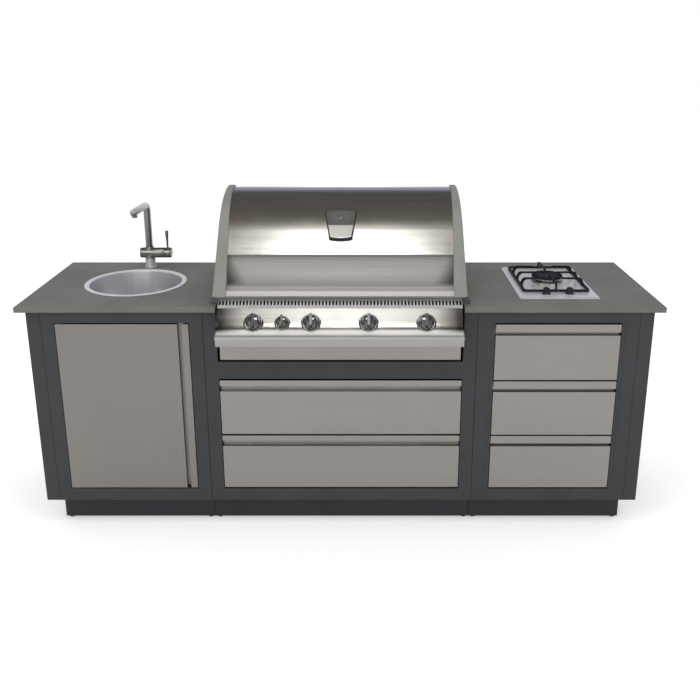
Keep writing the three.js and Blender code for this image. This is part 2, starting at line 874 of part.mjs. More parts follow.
function tapLever() {
  const profile = [
    ...arc([0, 0], leverBall, -Math.PI / 2, 0, filletSteps),
    [leverFootRadius, leverBall],
    [leverFootRadius, leverLength / 4],
    [leverTipRadius, leverLength - leverTipRadius / 2],
    [leverTipRadius / 2, leverLength],
    [0, leverLength],
  ];
  profile[0][0] = 0;
  return revolve(profile, smallSides);
}

// The spout rises, bends over and reaches forward; its outlet points down near the tip.
function tapSpout() {
  const foot = tapBarrelHeight + tapBarrelRadius + tapCollarRise + touchGap;
  const elbow = new THREE.Vector3(0, 0, spoutHeight - spoutRadius);
  const forward = new THREE.Vector3(0, -Math.cos(spoutDroop), -Math.sin(spoutDroop));
  const armLength = spoutReach / Math.cos(spoutDroop);
  const riseEnd = elbow.clone().addScaledVector(axisZ, -spoutBend);
  const armStart = elbow.clone().addScaledVector(forward, spoutBend);
  const tip = elbow.clone().addScaledVector(forward, armLength);
  const path = new THREE.CurvePath();
  path.add(new THREE.LineCurve3(new THREE.Vector3(0, 0, foot), riseEnd));
  path.add(new THREE.QuadraticBezierCurve3(riseEnd, elbow, armStart));
  path.add(new THREE.LineCurve3(armStart, tip));
  const tube = tubeAlong(path, spoutRadius, spoutSteps, knobSides);
  const outletAt = elbow.clone().addScaledVector(forward, armLength - aeratorRadius - sheet);
  const drop = [-spoutRadius - aeratorLength, -spoutRadius / 2];
  const nozzle = rodAlong(axisZ, aeratorRadius, drop, outletAt.toArray(), smallSides);
  const boreRange = [drop[0] - overrun, drop[0] + aeratorLength / 2];
  const bore = rodAlong(axisZ, aeratorRadius - sheet, boreRange, outletAt.toArray(), smallSides);
  return cut(join(tube, nozzle), bore);
}

function buildSinkCabinet() {
  const layout = doorLayout();
  const sinkX = -slabCentre - sinkOffset;
  piece("left_end_panel", endPanel(-1), "anthracite");
  piece("sink_cabinet_shell", carcass(sinkModule), "galvanised");
  const opening = { x: layout.opening, z: [openingBottom, openingTop] };
  const pivots = [
    pivotBracket(layout, openingTop, layout.z[1]),
    pivotBracket(layout, openingBottom, layout.z[0]),
  ];
  piece("sink_cabinet_frame", join(faceFrame(sinkModule, [opening]), ...pivots), "anthracite");
  piece("sink_cabinet_plinth", plinth(sinkModule), "plinthGrey");
  piece("sink_door", sinkDoor(layout), "brushedSteel");
  const throughZ = outset([bodyTop, worktopHeight], overrun);
  const bowlRadius = sinkRimRadius - sinkRimWidth + sinkHoleClearance + sheet;
  const bowlHole = rodAlong(axisZ, bowlRadius, throughZ, [sinkX, sinkCentreDepth, 0], wideSides);
  const tapHole = rodAlong(axisZ, tapShankRadius + touchGap, throughZ, [sinkX, tapDepth, 0], knobSides);
  piece("sink_worktop", cut(slab([-worktopHalf, -cutoutHalf]), bowlHole, tapHole), "stone");
  const sink = new THREE.Group();
  sink.position.set(sinkX, sinkCentreDepth, worktopHeight);
  island.add(sink);
  piece("sink_bowl", sinkBowl(), "brightSteel", sink);
  piece("sink_waste", sinkWaste(), "brightSteel", sink);
  buildTap(sinkX);
}

function buildTap(sinkX) {
  const tap = new THREE.Group();
  tap.position.set(sinkX, tapDepth, worktopHeight);
  island.add(tap);
  piece("tap_body", tapBody(), "brightSteel", tap);
  piece("tap_handle", tapHandle(), "brightSteel", tap);
  piece("tap_lever", tapLever(), "brightSteel", tap).position.set(leverPivotX(), 0, leverPivotZ());
  piece("tap_spout", tapSpout(), "brightSteel", tap).rotation.z = spoutRestTurn;
}

// Grill cabinet

function buildGrillCabinet() {
  const openingX = inset(grillModule, stileWidth);
  const drawerOpening = { x: openingX, z: [openingBottom, grillRailTop - grillRailHeight] };
  const grillOpening = { x: openingX, z: [grillRailTop, bodyTop + overrun] };
  const drawerX = inset(openingX, doorSideGap);
  const drawerZ = stackOf(2, drawerOpening.z, wideDrawerGap);
  const plans = drawerZ.map((z) => drawerPlan(drawerX, z));
  piece("grill_cabinet_shell", carcass(grillModule, plans), "galvanised");
  piece("grill_cabinet_frame", faceFrame(grillModule, [drawerOpening, grillOpening]), "anthracite");
  piece("grill_cabinet_plinth", plinth(grillModule), "plinthGrey");
  buildDrawer("wide_drawer_lower", drawerX, drawerZ[0], wideLip, wideGroove);
  buildDrawer("wide_drawer_upper", drawerX, drawerZ[1], wideLip, wideGroove);
  const behind = block(
    [-worktopHalf, worktopHalf], [0, cutoutDepth], outset([bodyTop, worktopHeight], overrun),
  );
  piece("rear_worktop", cut(slab(outset([0, 0], cutoutHalf - touchGap)), behind), "stone");
}

// Control panel. Its section runs from the top flange down the slotted slope, trough and rolled lip.

function troughCentre() {
  const top = [0, worktopHeight - slotEdgeDrop];
  const end = [-troughReach, top[1] - troughDrop];
  const chord = Math.hypot(troughReach, troughDrop);
  const radius = (chord * chord) / 8 / troughSag + troughSag / 2;
  const out = [-troughDrop / chord, troughReach / chord];
  const away = radius - troughSag;
  const centre = [middle([top[0], end[0]]) + out[0] * away, middle([top[1], end[1]]) + out[1] * away];
  return { top, end, radius, centre };
}

// The point of the trough where a knob stands square to it
function knobSeat() {
  const { radius, centre } = troughCentre();
  return [centre[0] + radius * Math.cos(knobTilt), centre[1] - radius * Math.sin(knobTilt)];
}

function panelSection() {
  const { top, end, radius, centre } = troughCentre();
  const angleOf = ([y, z]) => Math.atan2(z - centre[1], y - centre[0]);
  const trough = arc(centre, radius, angleOf(top), angleOf(end), 9);
  const crest = end[1];
  const roll = arc([-lipReach + lipRound, crest - lipRound], lipRound, Math.PI / 2, Math.PI, 3);
  const topZ = worktopHeight + panelTopRise;
  return [
    [fireboxFront + 2 * fireboxWall, topZ],
    [panelTopBack, topZ],
    ...trough,
    ...roll.slice(1),
    [-lipReach, crest - lipHeight],
    [-lipReach + panelReturn, crest - lipHeight],
  ];
}

function knobMatrix(x) {
  const [y, z] = knobSeat();
  return new THREE.Matrix4().makeRotationX(Math.PI / 2 - knobTilt).setPosition(x, y, z);
}

function knobPlaces() {
  const large = knobPlaceShares.map((place) => ({ x: place * knobPitch, share: 1 }));
  return [...large, { x: -knobPitch, share: smallKnobShare }];
}

function bezel({ x, share }) {
  const [outer, inner] = [bezelRadius * share, (bezelRadius - bezelWidth) * share];
  const edge = sheet / 2;
  const ring = revolve([
    [inner, -edge], [outer, -edge], [outer, bezelHeight - sheet], [outer - sheet, bezelHeight],
    [inner, bezelHeight],
  ], knobSides);
  return moved(ring, knobMatrix(x));
}

// Cooling slots across the sloping strip between the lid and the trough
function coolingSlots() {
  const { top } = troughCentre();
  const run = panelTopBack - top[0];
  const rise = worktopHeight + panelTopRise - top[1];
  const slope = Math.atan2(rise, run);
  const centre = [0, middle([top[0], panelTopBack]), middle([top[1], top[1] + rise])];
  const turn = new THREE.Matrix4().makeRotationX(slope).setPosition(...centre);
  return Array.from({ length: slotCount }, (_, i) => {
    const x = (i - (slotCount - 1) / 2) * slotPitch;
    const half = slotLength / 2;
    return moved(block([x - slotWidth / 2, x + slotWidth / 2], [-half, half], [-overrun, overrun]), turn);
  });
}

function controlPanel() {
  const path = panelSection();
  const folded = extrudeAlongX(wall(path, sheet), [-panelHalf, panelHalf]);
  const lowZ = path[path.length - 1][1];
  const endOutline = [...path.slice(1), [panelTopBack, lowZ]];
  const endRange = (side) => mirrorRange(side, panelHalf - sheet, panelHalf);
  const ends = [-1, 1].map((side) => extrudeAlongX(endOutline, endRange(side)));
  const places = knobPlaces();
  const stemHoles = places.map(({ x }) =>
    moved(rod(stemRadius + touchGap, [-valveRadius, valveRadius], smallSides), knobMatrix(x)),
  );
  const bezels = places.map(bezel);
  return cut(join(folded, ...ends, ...bezels), ...stemHoles, ...coolingSlots());
}

function knob(share) {
  const base = 2 * sheet;
  const skirt = (bezelRadius - bezelWidth) * share - 2 * touchGap;
  const body = skirt * knobBodyShare;
  const crown = body * knobCrownShare;
  const top = base + knobHeight;
  const turned = revolve([
    [0, base], [skirt - lipChamfer, base], [skirt, base + lipChamfer],
    [skirt, base + knobSkirtHeight - lipChamfer],
    [skirt - lipChamfer, base + knobSkirtHeight], [body, base + knobSkirtHeight + lipChamfer],
    [crown + lipChamfer, top - 2 * lipChamfer], [crown - lipChamfer, top], [0, top],
  ], knobSides);
  const half = (knobGripWidth / 2) * share;
  const long = body + lipChamfer;
  const outline = [
    [-half, -long + half], [-half / 2, -long], [half / 2, -long], [half, -long + half],
    [half, long - half], [half / 2, long], [-half / 2, long], [-half, long - half],
  ];
  const grip = extrudeAlongZ(outline, [base + knobSkirtHeight, top + knobGripRise]);
  const bore = rod(stemRadius + touchGap, [-overrun, stemLength + touchGap], smallSides);
  return cut(join(turned, grip), bore);
}

// Gas pipe with a valve and a stem behind each knob, and a jet into each burner tube
function manifold() {
  const [seatY, seatZ] = knobSeat();
  const pipeY = seatY + manifoldBack * Math.cos(knobTilt);
  const pipeZ = seatZ - manifoldBack * Math.sin(knobTilt);
  const jetZ = worktopHeight - burnerLevel;
  const pipeHalf = knobPlaceShares[3] * knobPitch + 2 * bezelRadius;
  let body = rodAlong(axisX, manifoldPipeRadius, [-pipeHalf, pipeHalf], [0, pipeY, pipeZ], smallSides);
  for (const { x, share } of knobPlaces()) {
    const valve = moved(rod(valveRadius, [-manifoldBack, -valveRadius], smallSides), knobMatrix(x));
    const stem = moved(rod(stemRadius, [-manifoldBack, stemLength], smallSides), knobMatrix(x));
    body = join(body, valve, stem);
    if (share < 1) continue;
    const jet = [pipeY, fireboxFront - tubeMouth + spudRadius];
    body = join(body, rodAlong(axisY, spudRadius, jet, [x, 0, jetZ], smallSides));
    if (x > knobPitch) continue;
    const tabX = [x + knobPitch / 2, x + knobPitch / 2 + bezelWidth];
    const tabY = [pipeY, fireboxFront - touchGap];
    body = join(body, block(tabX, tabY, outset([pipeZ, pipeZ], sheet)));
  }
  return body;
}

// Firebox

function fireboxSpan() {
  return [fireboxFront, fireboxFront + fireboxDepth];
}

function keelOutline(half, wallBack, top) {
  return [
    [-half, top], [-half, worktopHeight - fireboxSideBottom + wallBack],
    [0, worktopHeight - fireboxKeel + wallBack],
    [half, worktopHeight - fireboxSideBottom + wallBack], [half, top],
  ];
}

function fireboxFlange() {
  const half = cutoutHalf + flangeLap;
  const z = [worktopHeight, worktopHeight + flangeThickness];
  const span = fireboxSpan();
  const rim = block([-half, half], [flangeFront, cutoutDepth + flangeRearLap], z);
  const hollow = block(
    outset([0, 0], fireboxWidth / 2 - fireboxWall), inset(span, fireboxWall), outset(z, overrun),
  );
  const notchX = outset([0, 0], panelHalf + touchGap);
  const notch = block(notchX, [flangeFront - overrun, fireboxFront], outset(z, overrun));
  return cut(rim, hollow, notch);
}

function ledges() {
  const span = fireboxSpan();
  const inner = fireboxWidth / 2 - fireboxWall;
  const gridZ = worktopHeight - gridLevel;
  const tamerZ = worktopHeight - tamerLevel;
  const x = outset([0, 0], inner + fireboxWall / 2);
  const wallHalf = fireboxWall / 2;
  const restZ = worktopHeight - burnerLevel - tubeRadius;
  const restY = span[1] - tubeRearGap - 2 * ledgeWidth;
  const shelves = [
    block(x, [span[0] + wallHalf, span[0] + fireboxWall + ledgeWidth], [gridZ - ledgeThickness, gridZ]),
    block(x, [span[1] - fireboxWall - ledgeWidth, span[1] - wallHalf], [gridZ - ledgeThickness, gridZ]),
    block(x, [restY, restY + ledgeWidth], [restZ - touchGap - ledgeThickness, restZ - touchGap]),
  ];
  for (const side of [-1, 1]) {
    const tamerX = mirrorRange(side, inner - ledgeWidth, inner + wallHalf);
    shelves.push(block(tamerX, inset(span, wallHalf), [tamerZ - ledgeThickness, tamerZ]));
  }
  return shelves;
}

function hingePoint() {
  return [worktopDepth - lidBackSetback - hingeBack, worktopHeight + hingeRise];
}

// An ear on each side wall with the pin that the lid turns on
function hingeEars() {
  const [y, z] = hingePoint();
  const half = fireboxWidth / 2;
  return [-1, 1].flatMap((side) => {
    const ear = block(
      mirrorRange(side, half - fireboxWall / 2, half + earThickness),
      [y - earWidth / 2, y + earWidth / 2],
      [worktopHeight, z + earWidth / 2],
    );
    const pin = rodAlong(axisX, hingePinRadius, mirrorRange(side, half, lidHalf), [0, y, z], knobSides);
    return [ear, pin];
  });
}

function trayRails() {
  const top = worktopHeight - fireboxSideBottom + fireboxWall;
  const low = trayFlangeZ()[0] - runnerPlay;
  const half = trayHalfWidth + trayFlange + runnerPlay;
  const y = inset(fireboxSpan(), fireboxWall);
  return [-1, 1].flatMap((side) => [
    block(mirrorRange(side, half, half + sheet), y, [low - sheet, top + sheet]),
    block(mirrorRange(side, half - runnerLap, half + sheet), y, [low - sheet, low]),
    block(mirrorRange(side, fireboxWidth / 2 - fireboxWall / 2, half + sheet), y, [top, top + sheet]),
  ]);
}

function firebox() {
  const span = fireboxSpan();
  const half = fireboxWidth / 2;
  const top = worktopHeight + fireboxRim;
  const outer = extrudeAlongY(keelOutline(half, 0, top), span);
  const inner = extrudeAlongY(
    keelOutline(half - fireboxWall, fireboxWall, top + overrun), inset(span, fireboxWall),
  );
  const slotY = outset([middle(span), middle(span)], greaseSlotDepth / 2);
  const slotZ = [worktopHeight - fireboxKeel - overrun, worktopHeight - fireboxSideBottom];
  const slot = block(outset([0, 0], greaseSlotWidth / 2), slotY, slotZ);
  const underPanelZ = [worktopHeight + panelTopRise - sheet, top + overrun];
  const underPanel = block(
    outset([0, 0], half + overrun), outset([span[0], span[0] + fireboxWall], overrun), underPanelZ,
  );
  const back = block(
    [-half, half], [span[1] - fireboxWall, span[1]], [worktopHeight, worktopHeight + backWallRise],
  );
  const holes = knobPlaces().filter(({ share }) => share === 1).map(({ x }) =>
    rodAlong(axisY, tubeRadius + touchGap, [span[0] - overrun, span[0] + 2 * overrun],
      [x, 0, worktopHeight - burnerLevel], knobSides),
  );
  const shell = join(cut(outer, inner, slot, underPanel), back, ...ledges());
  return join(cut(shell, ...holes), fireboxFlange(), ...hingeEars(), ...trayRails());
}

function burnerTube() {
  const length = fireboxDepth - tubeRearGap + tubeMouth;
  const inner = tubeRadius - tubeWall;
  const tube = revolve([
    [0, length], [tubeRadius, length], [tubeRadius, 0], [inner, 0],
    [inner, length - tubeWall], [0, length - tubeWall],
  ], smallSides);
  const portsFrom = 2 * tubeMouth + 2 * fireboxWall;
  const pitch = (length - portsFrom - tubeMouth) / tubePorts;
  const ports = Array.from({ length: tubePorts }, (_, i) => {
    const z = portsFrom + i * pitch;
    return block(
      [-tubeRadius - overrun, tubeRadius + overrun], [tubeWall, 3 * tubeWall], [z, z + pitch / 2],
    );
  });
  return cut(tube, ...ports);
}

function flameTamer() {
  const z = worktopHeight - tamerLevel;
  const half = fireboxWidth / 2 - fireboxWall - touchGap;
  const ridges = [-1.5, -0.5, 0.5, 1.5].flatMap((share) => {
    const x = share * knobPitch;
    return [[x - tamerRidge, z], [x, z + tamerRidgeRise], [x + tamerRidge, z]];
  });
  const path = [[-half, z], ...ridges, [half, z]];
  const y = inset(fireboxSpan(), fireboxWall + ledgeWidth);
  const folded = extrudeAlongY(wall(path, sheet), y);
  const drains = [-1, 0, 1].map((share) => {
    const x = outset([share * knobPitch, share * knobPitch], knobPitch / 2 - tamerRidge - ledgeWidth);
    return block(x, inset(y, 2 * ledgeWidth), outset([z, z], overrun));
  });
  return cut(folded, ...drains);
}

function cookingGrid(index) {
  const inner = fireboxWidth / 2 - fireboxWall;
  const width = (2 * inner - (gridCount + 1) * gridGap) / gridCount;
  const left = -inner + gridGap + index * (width + gridGap);
  const y = inset(fireboxSpan(), fireboxWall + touchGap * 2);
  const rest = worktopHeight - gridLevel;
  const barHeight = 2 * gridRodRadius;
  const barZ = [rest, rest + barHeight];
  const bars = [y[0], y[1] - ledgeWidth + touchGap * 2].map((from) =>
    block([left, left + width], [from, from + ledgeWidth - touchGap * 2], barZ),
  );
  const rods = Array.from({ length: gridRods }, (_, i) => {
    const x = left + gridRodRadius + ((width - 2 * gridRodRadius) * i) / (gridRods - 1);
    return rodAlong(axisY, gridRodRadius, y, [x, 0, barZ[1] + gridRodRadius / 2], wireSides);
  });
  return join(...bars, ...rods);
}

function warmingRack() {
  const z = worktopHeight + rackRise;
  const back = fireboxSpan()[1] - fireboxWall - rearBurnerDepth - ledgeWidth;
  const y = [back - rackDepth, back];
  const half = fireboxWidth / 2 - rackSideGap;
  const sideX = fireboxWidth / 2 - fireboxWall / 2;
  const lean = Math.atan2(sideX - half, rackRise - fireboxRim);
  const footZ = worktopHeight + fireboxRim + touchGap + rackRodRadius * Math.sin(lean);
  const rails = y.map((at) => {
    const points = [
      [-sideX, at, footZ], [-half, at, z], [half, at, z], [sideX, at, footZ],
    ].map((p) => new THREE.Vector3(...p));
    const path = roundedPath(points, ledgeWidth);
    return tubeAlong(path, rackRodRadius, Math.ceil(path.getLength() / rackRodRadius), wireSides);
  });
  const rods = Array.from({ length: rackRods }, (_, i) => {
    const x = -half + ledgeWidth + ((2 * half - 2 * ledgeWidth) * i) / (rackRods - 1);
    return rodAlong(axisY, rackRodRadius * rackRodShare, y, [x, 0, z], wireSides);
  });
  return join(...rails, ...rods);
}

// Straight lines between the points, with each inner corner rounded
function roundedPath(points, bend) {
  const path = new THREE.CurvePath();
  let from = points[0];
  for (let i = 1; i < points.length - 1; i += 1) {
    const corner = points[i];
    const before = points[i - 1].clone().sub(corner).setLength(bend).add(corner);
    const after = points[i + 1].clone().sub(corner).setLength(bend).add(corner);
    path.add(new THREE.LineCurve3(from, before));
    path.add(new THREE.QuadraticBezierCurve3(before, corner, after));
    from = after;
  }
  path.add(new THREE.LineCurve3(from, points[points.length - 1]));
  return path;
}

// Heat panel on the rear wall for a spit: a tray with a recessed face
function rearBurner() {
  const wallY = fireboxSpan()[1] - fireboxWall - touchGap;
  const x = outset([0, 0], rearBurnerWidth / 2);
  const y = [wallY - rearBurnerDepth, wallY];
  const bottom = worktopHeight + rearBurnerRise;
  const z = [bottom, bottom + rearBurnerHeight];
  const face = block(
    inset(x, ledgeWidth), [y[0] - overrun, y[0] + rearBurnerDepth / 2], inset(z, ledgeWidth),
  );
  return cut(block(x, y, z), face);
}

// Grease tray: a pan on two rails, with the apron of the grill head as its front

function trayFlangeZ() {
  const top = apronTop - apronHeight + trayFloorRise + trayWallHeight;
  return [top - sheet, top];
}

function greaseTray() {
  const apronBack = frontPlane - apronSetback;
  const apronZ = [apronTop - apronHeight, apronTop];
  const apronX = [-panelHalf, panelHalf];
  const apronY = [apronBack, apronBack + frontReturn];
  const apron = cut(
    block(apronX, apronY, apronZ),
    block(inset(apronX, sheet), shifted(apronY, sheet), inset(apronZ, sheet)),
  );
  const y = [apronBack + frontReturn / 2, apronBack + frontReturn / 2 + trayDepth];
  const x = [-trayHalfWidth, trayHalfWidth];
  const z = [apronZ[0] + trayFloorRise, trayFlangeZ()[1]];
  const pan = cut(
    block(x, y, z), block(inset(x, sheet), inset(y, sheet), [z[0] + sheet, z[1] + overrun]),
  );
  const flangeY = [fireboxFront + 2 * fireboxWall, y[1]];
  const flange = cut(
    block(outset(x, trayFlange), flangeY, trayFlangeZ()),
    block(inset(x, sheet), outset(flangeY, overrun), outset(z, overrun)),
  );
  const stay = block(
    inset(x, trayHalfWidth / 2), [apronBack + sheet / 2, y[0] + sheet], [z[0], z[0] + sheet],
  );
  return join(apron, pan, flange, stay);
}

// Lid. Points hold (y, z). The outer line runs up the raked front, over the arc and down the back.

function lidFrame() {
  const back = worktopDepth - lidBackSetback;
  const bottom = worktopHeight + lidBottomRise;
  const radius = lidArcShare * (back - lidFrontSetback);
  const skinRadius = radius - capRim - touchGap;
  const frontAngle = Math.PI / 2 + lidRake;
  const centreZ = worktopHeight + lidTopRise - radius;
  const slopeTop = centreZ + skinRadius * Math.sin(frontAngle);
  const slopeRun = (slopeTop - bottom) / Math.tan(lidRake);
  const centreY = lidFrontSetback + slopeRun - skinRadius * Math.cos(frontAngle);
  const rearAngle = Math.acos((back - centreY - lidRearRadius) / (radius - lidRearRadius));
  const rearCentre = [
    centreY + (radius - lidRearRadius) * Math.cos(rearAngle),
    centreZ + (radius - lidRearRadius) * Math.sin(rearAngle),
  ];
  const centre = [centreY, centreZ];
  return { back, bottom, radius, skinRadius, centre, frontAngle, rearAngle, rearCentre };
}

// A point on the raked front, from its distance up the slope and its depth under the skin line
function onRake(along, depth) {
  const { centre, bottom, skinRadius, frontAngle } = lidFrame();
  const start = [
    centre[0] + skinRadius * Math.cos(frontAngle), centre[1] + skinRadius * Math.sin(frontAngle),
  ];
  const length = (start[1] - bottom) / Math.sin(lidRake);
  const up = along - length;
  return [
    start[0] + up * Math.cos(lidRake) + depth * Math.sin(lidRake),
    start[1] + up * Math.sin(lidRake) - depth * Math.cos(lidRake),
  ];
}

function overTop(depth) {
  const { centre, radius, frontAngle, rearAngle, rearCentre } = lidFrame();
  const front = arc(centre, radius - depth, frontAngle, rearAngle, 14);
  const rear = arc(rearCentre, lidRearRadius - depth, rearAngle, 0, 5);
  return [...front, ...rear.slice(1)];
}

// The skin from the hem of its front lip, through the grip channel and over the top to the back
function skinPath() {
  const { back } = lidFrame();
  const depth = capRim + touchGap;
  const channel = bezier([
    [gripStart, gripLip / 4], [gripStart + gripLip, gripDepth],
    [gripEnd - gripLip, gripDepth * gripFloorShare], [gripEnd - sheet, gripDepth / 3],
  ], 10);
  return [
    onRake(0, gripLipHem),
    onRake(0, 0),
    onRake(gripLip, 0),
    ...channel.map(([along, down]) => onRake(along, down)),
    onRake(gripEnd, 0),
    ...overTop(depth),
    [back - depth, worktopHeight + skinBackRise],
  ];
}

function lidSkin() {
  const half = lidHalf - capPlate - touchGap;
  const folded = extrudeAlongX(wall(skinPath().reverse(), skinThickness), [-half, half]);
  const stem = moved(
    rod(gaugeStemRadius + touchGap, [-gaugeStemLength, gaugeStemLength], smallSides), gaugeMatrix(),
  );
  return cut(folded, stem);
}

// Everything under the skin line, grown by a gap, so that a cap can be cut to seat on the skin
function underSkin(gap) {
  const { back, bottom } = lidFrame();
  const path = skinPath().slice(1);
  path[0] = onRake(-2 * overrun, 0);
  path[path.length - 1] = [back - capRim - touchGap, bottom - 2 * overrun];
  return offsetPath(path, gap);
}

function lidOutline() {
  const { back, bottom } = lidFrame();
  const front = onRake(0, -capRim - touchGap);
  const foot = [front[0] + (bottom - front[1]) / Math.tan(lidRake), bottom];
  return [foot, ...overTop(0), [back, bottom]];
}

// A cast end cap: a side plate with a rim that stands proud of the skin and narrows towards the top
function lidCap(side) {
  const half = lidHalf;
  const plateX = mirrorRange(side, half - capPlate, half);
  const plate = extrudeAlongX(lidOutline(), plateX);
  const band = extrudeAlongX(
    lidOutline(), mirrorRange(side, half - capRimFront - overrun, half - capPlate),
  );
  const { back } = lidFrame();
  const hollow = extrudeAlongX(
    underSkin(touchGap), mirrorRange(side, half - 2 * capRimFront, half - capPlate),
  );
  const inner = half - capRimFront - overrun;
  const wedge = extrudeAlongZ([
    [side * (inner - overrun), -overrun * 4],
    [side * (inner - overrun), back + overrun],
    [side * (inner + overrun + back * capRimTaperShare), back + overrun],
    [side * (inner + overrun), -overrun * 4],
  ], [worktopHeight, worktopHeight + 2 * lidTopRise]);
  const [hingeY, hingeZ] = hingePoint();
  const at = [0, hingeY, hingeZ];
  const bossFrom = fireboxWidth / 2 + earThickness + 2 * touchGap;
  const boss = rodAlong(axisX, hingeBossRadius, mirrorRange(side, bossFrom, half), at, roundSides);
  const boreX = mirrorRange(side, bossFrom - overrun, half + overrun);
  const bore = rodAlong(axisX, hingePinRadius + touchGap, boreX, at, knobSides);
  return cut(join(plate, cut(band, hollow, wedge), boss), bore);
}

// Thermometer on the lid's front: a shield-shaped case with a sunken dial and a stem through the skin

function gaugeMatrix() {
  const { centre, skinRadius } = lidFrame();
  const y = centre[0] - skinRadius * Math.sin(gaugeLean);
  const z = centre[1] + skinRadius * Math.cos(gaugeLean);
  return new THREE.Matrix4().makeRotationX(gaugeLean).setPosition(0, y, z);
}

function gaugeOutline() {
  const top = gaugeHeight / 2;
  const half = gaugeWidth / 2;
  const foot = gaugeFootWidth / 2;
  const corner = gaugeDialSink * 2;
  return [
    [-foot, -top + corner], [-foot / 2, -top + corner / 4], [0, -top], [foot / 2, -top + corner / 4],
    [foot, -top + corner], [half, top - 2 * corner], [half - corner, top - corner / 2], [0, top],
    [-half + corner, top - corner / 2], [-half, top - 2 * corner],
  ];
}

function lidThermometer() {
  const body = extrudeAlongZ(gaugeOutline(), [-gaugeThickness, gaugeThickness]);
  const dialAt = [0, gaugeHeight / 8, gaugeThickness - gaugeDialSink];
  const dial = rodAlong(axisZ, gaugeDialRadius, [0, gaugeDialSink + overrun], dialAt, roundSides);
  const hub = rodAlong(axisZ, gaugeStemRadius, [-sheet / 2, gaugeDialSink / 2], dialAt, smallSides);
  const stem = rod(gaugeStemRadius, [-gaugeStemLength, gaugeThickness / 2], smallSides);
  const seat = extrudeAlongX(underSkin(touchGap), [-gaugeWidth, gaugeWidth]);
  const placed = cut(moved(join(cut(body, dial), hub), gaugeMatrix()), seat);
  return join(placed, moved(stem, gaugeMatrix()));
}

function buildGrillHead() {
  piece("control_panel", controlPanel(), "brightSteel");
  piece("burner_manifold", manifold(), "brass");
  piece("firebox", firebox(), "brushedSteel");
  piece("grease_tray", greaseTray(), "brushedSteel");
  piece("flame_tamer", flameTamer(), "brushedSteel");
  piece("warming_rack", warmingRack(), "brightSteel");
  piece("rear_burner", rearBurner(), "blackEnamel");
  piece("lid_skin", lidSkin(), "brushedSteel");
  piece("lid_cap_left", lidCap(-1), "castGrey");
  piece("lid_cap_right", lidCap(1), "castGrey");
  piece("lid_thermometer", lidThermometer(), "brightSteel");
  ["left", "middle", "right"].forEach((place, i) => {
    piece("cooking_grid_" + place, cookingGrid(i), "blackEnamel");
  });
  knobPlaces().forEach(({ x, share }, i) => {
    const name = share === 1 ? "grill_knob_" + (i + 1) : "rear_burner_knob";
    const mesh = piece(name, knob(share), "brightSteel");
    const [y, z] = knobSeat();
    mesh.position.set(x, y, z);
    mesh.rotation.x = Math.PI / 2 - knobTilt;
    if (share < 1) return;
    const tube = piece("burner_tube_" + (i + 1), burnerTube(), "brightSteel");
    tube.position.set(x, fireboxFront - tubeMouth, worktopHeight - burnerLevel);
    tube.rotation.x = -Math.PI / 2;
  });
}

// Drawer cabinet and hob

function hobTray() {
  const [halfX, halfY] = [hobWidth / 2, hobDepth / 2];
  const corner = hobCorner;
  const plate = loft([
    roundedRing(halfX, halfY, corner, 0),
    roundedRing(halfX, halfY, corner, sheet / 2),
    roundedRing(halfX - hobBevel, halfY - hobBevel, corner, hobRise),
  ]);
  const wellTop = hobRise + sheet;
  const wellBottom = hobRise - hobWellSink;
  const wellX = grateWidth / 2 - hobWellSideInset;
  const wellY = grateDepth / 2 - hobWellEndInset;
  const well = loft([
    roundedRing(wellX - hobBevel, wellY - hobBevel, corner, wellBottom, hobWellShift),
    roundedRing(wellX, wellY, corner, wellTop, hobWellShift),
  ]);
  const boxX = outset([0, 0], halfX - hobCutoutLap - sheet);
  const boxY = outset([0, 0], halfY - hobCutoutLap - sheet);
  const box = block(boxX, boxY, [-hobBoxDepth, 0]);
  const hollow = block(
    inset(boxX, sheet), inset(boxY, sheet), [-hobBoxDepth - overrun, wellBottom - sheet],
  );
  const throatZ = outset([0, 0], hobBoxDepth);
  const throat = rodAlong(
    axisZ, burnerThroatRadius + touchGap, throatZ, [0, hobWellShift, 0], roundSides,
  );
  const stems = [-1, 1].map((side) =>
    rodAlong(axisZ, hobStemRadius, [sheet / 2, hobRise + hobKnobHeight / 2],
      [side * hobKnobSpread, -halfY + hobKnobInset, 0], smallSides),
  );
  return join(cut(join(plate, box), hollow, well, throat), ...stems);
}

function hobBurner() {
  const seat = hobRise - hobWellSink + touchGap;
  const top = seat + burnerHeight;
  const body = revolve([
    [0, -burnerHeight], [burnerThroatRadius, -burnerHeight],
    [burnerThroatRadius, seat], [burnerRadius, seat],
    [burnerRadius, seat + burnerHeight / 4], [burnerThroatRadius + sheet, seat + burnerHeight / 3],
    [burnerThroatRadius + sheet, seat + burnerHeight / 2],
    [burnerCapRadius - 2 * sheet, seat + burnerHeight * burnerCrownShare],
    [burnerCapRadius - 2 * sheet, top], [burnerThroatRadius, top],
    [burnerThroatRadius - sheet, top - burnerHeight / 4], [0, top - burnerHeight / 4],
  ], roundSides);
  const notchZ = [top - burnerHeight / 5, top + overrun];
  const notches = Array.from({ length: burnerNotches }, (_, i) => {
    const turn = new THREE.Matrix4().makeRotationZ((i / burnerNotches) * 2 * Math.PI);
    const notch = block([burnerThroatRadius + sheet, burnerRadius], outset([0, 0], sheet), notchZ);
    return moved(notch, turn);
  });
  return cut(body, ...notches);
}

function hobBurnerCap() {
  const low = hobRise - hobWellSink + touchGap + burnerHeight + touchGap;
  const top = low + burnerCapHeight;
  return revolve([
    [0, low], [burnerCapRadius - sheet, low], [burnerCapRadius, low + sheet],
    [burnerCapRadius, top - 2 * sheet], [burnerCapRadius - 2 * sheet, top - sheet / 2],
    [burnerThroatRadius, top], [burnerThroatRadius - sheet, top - sheet], [0, top - sheet],
  ], roundSides);
}

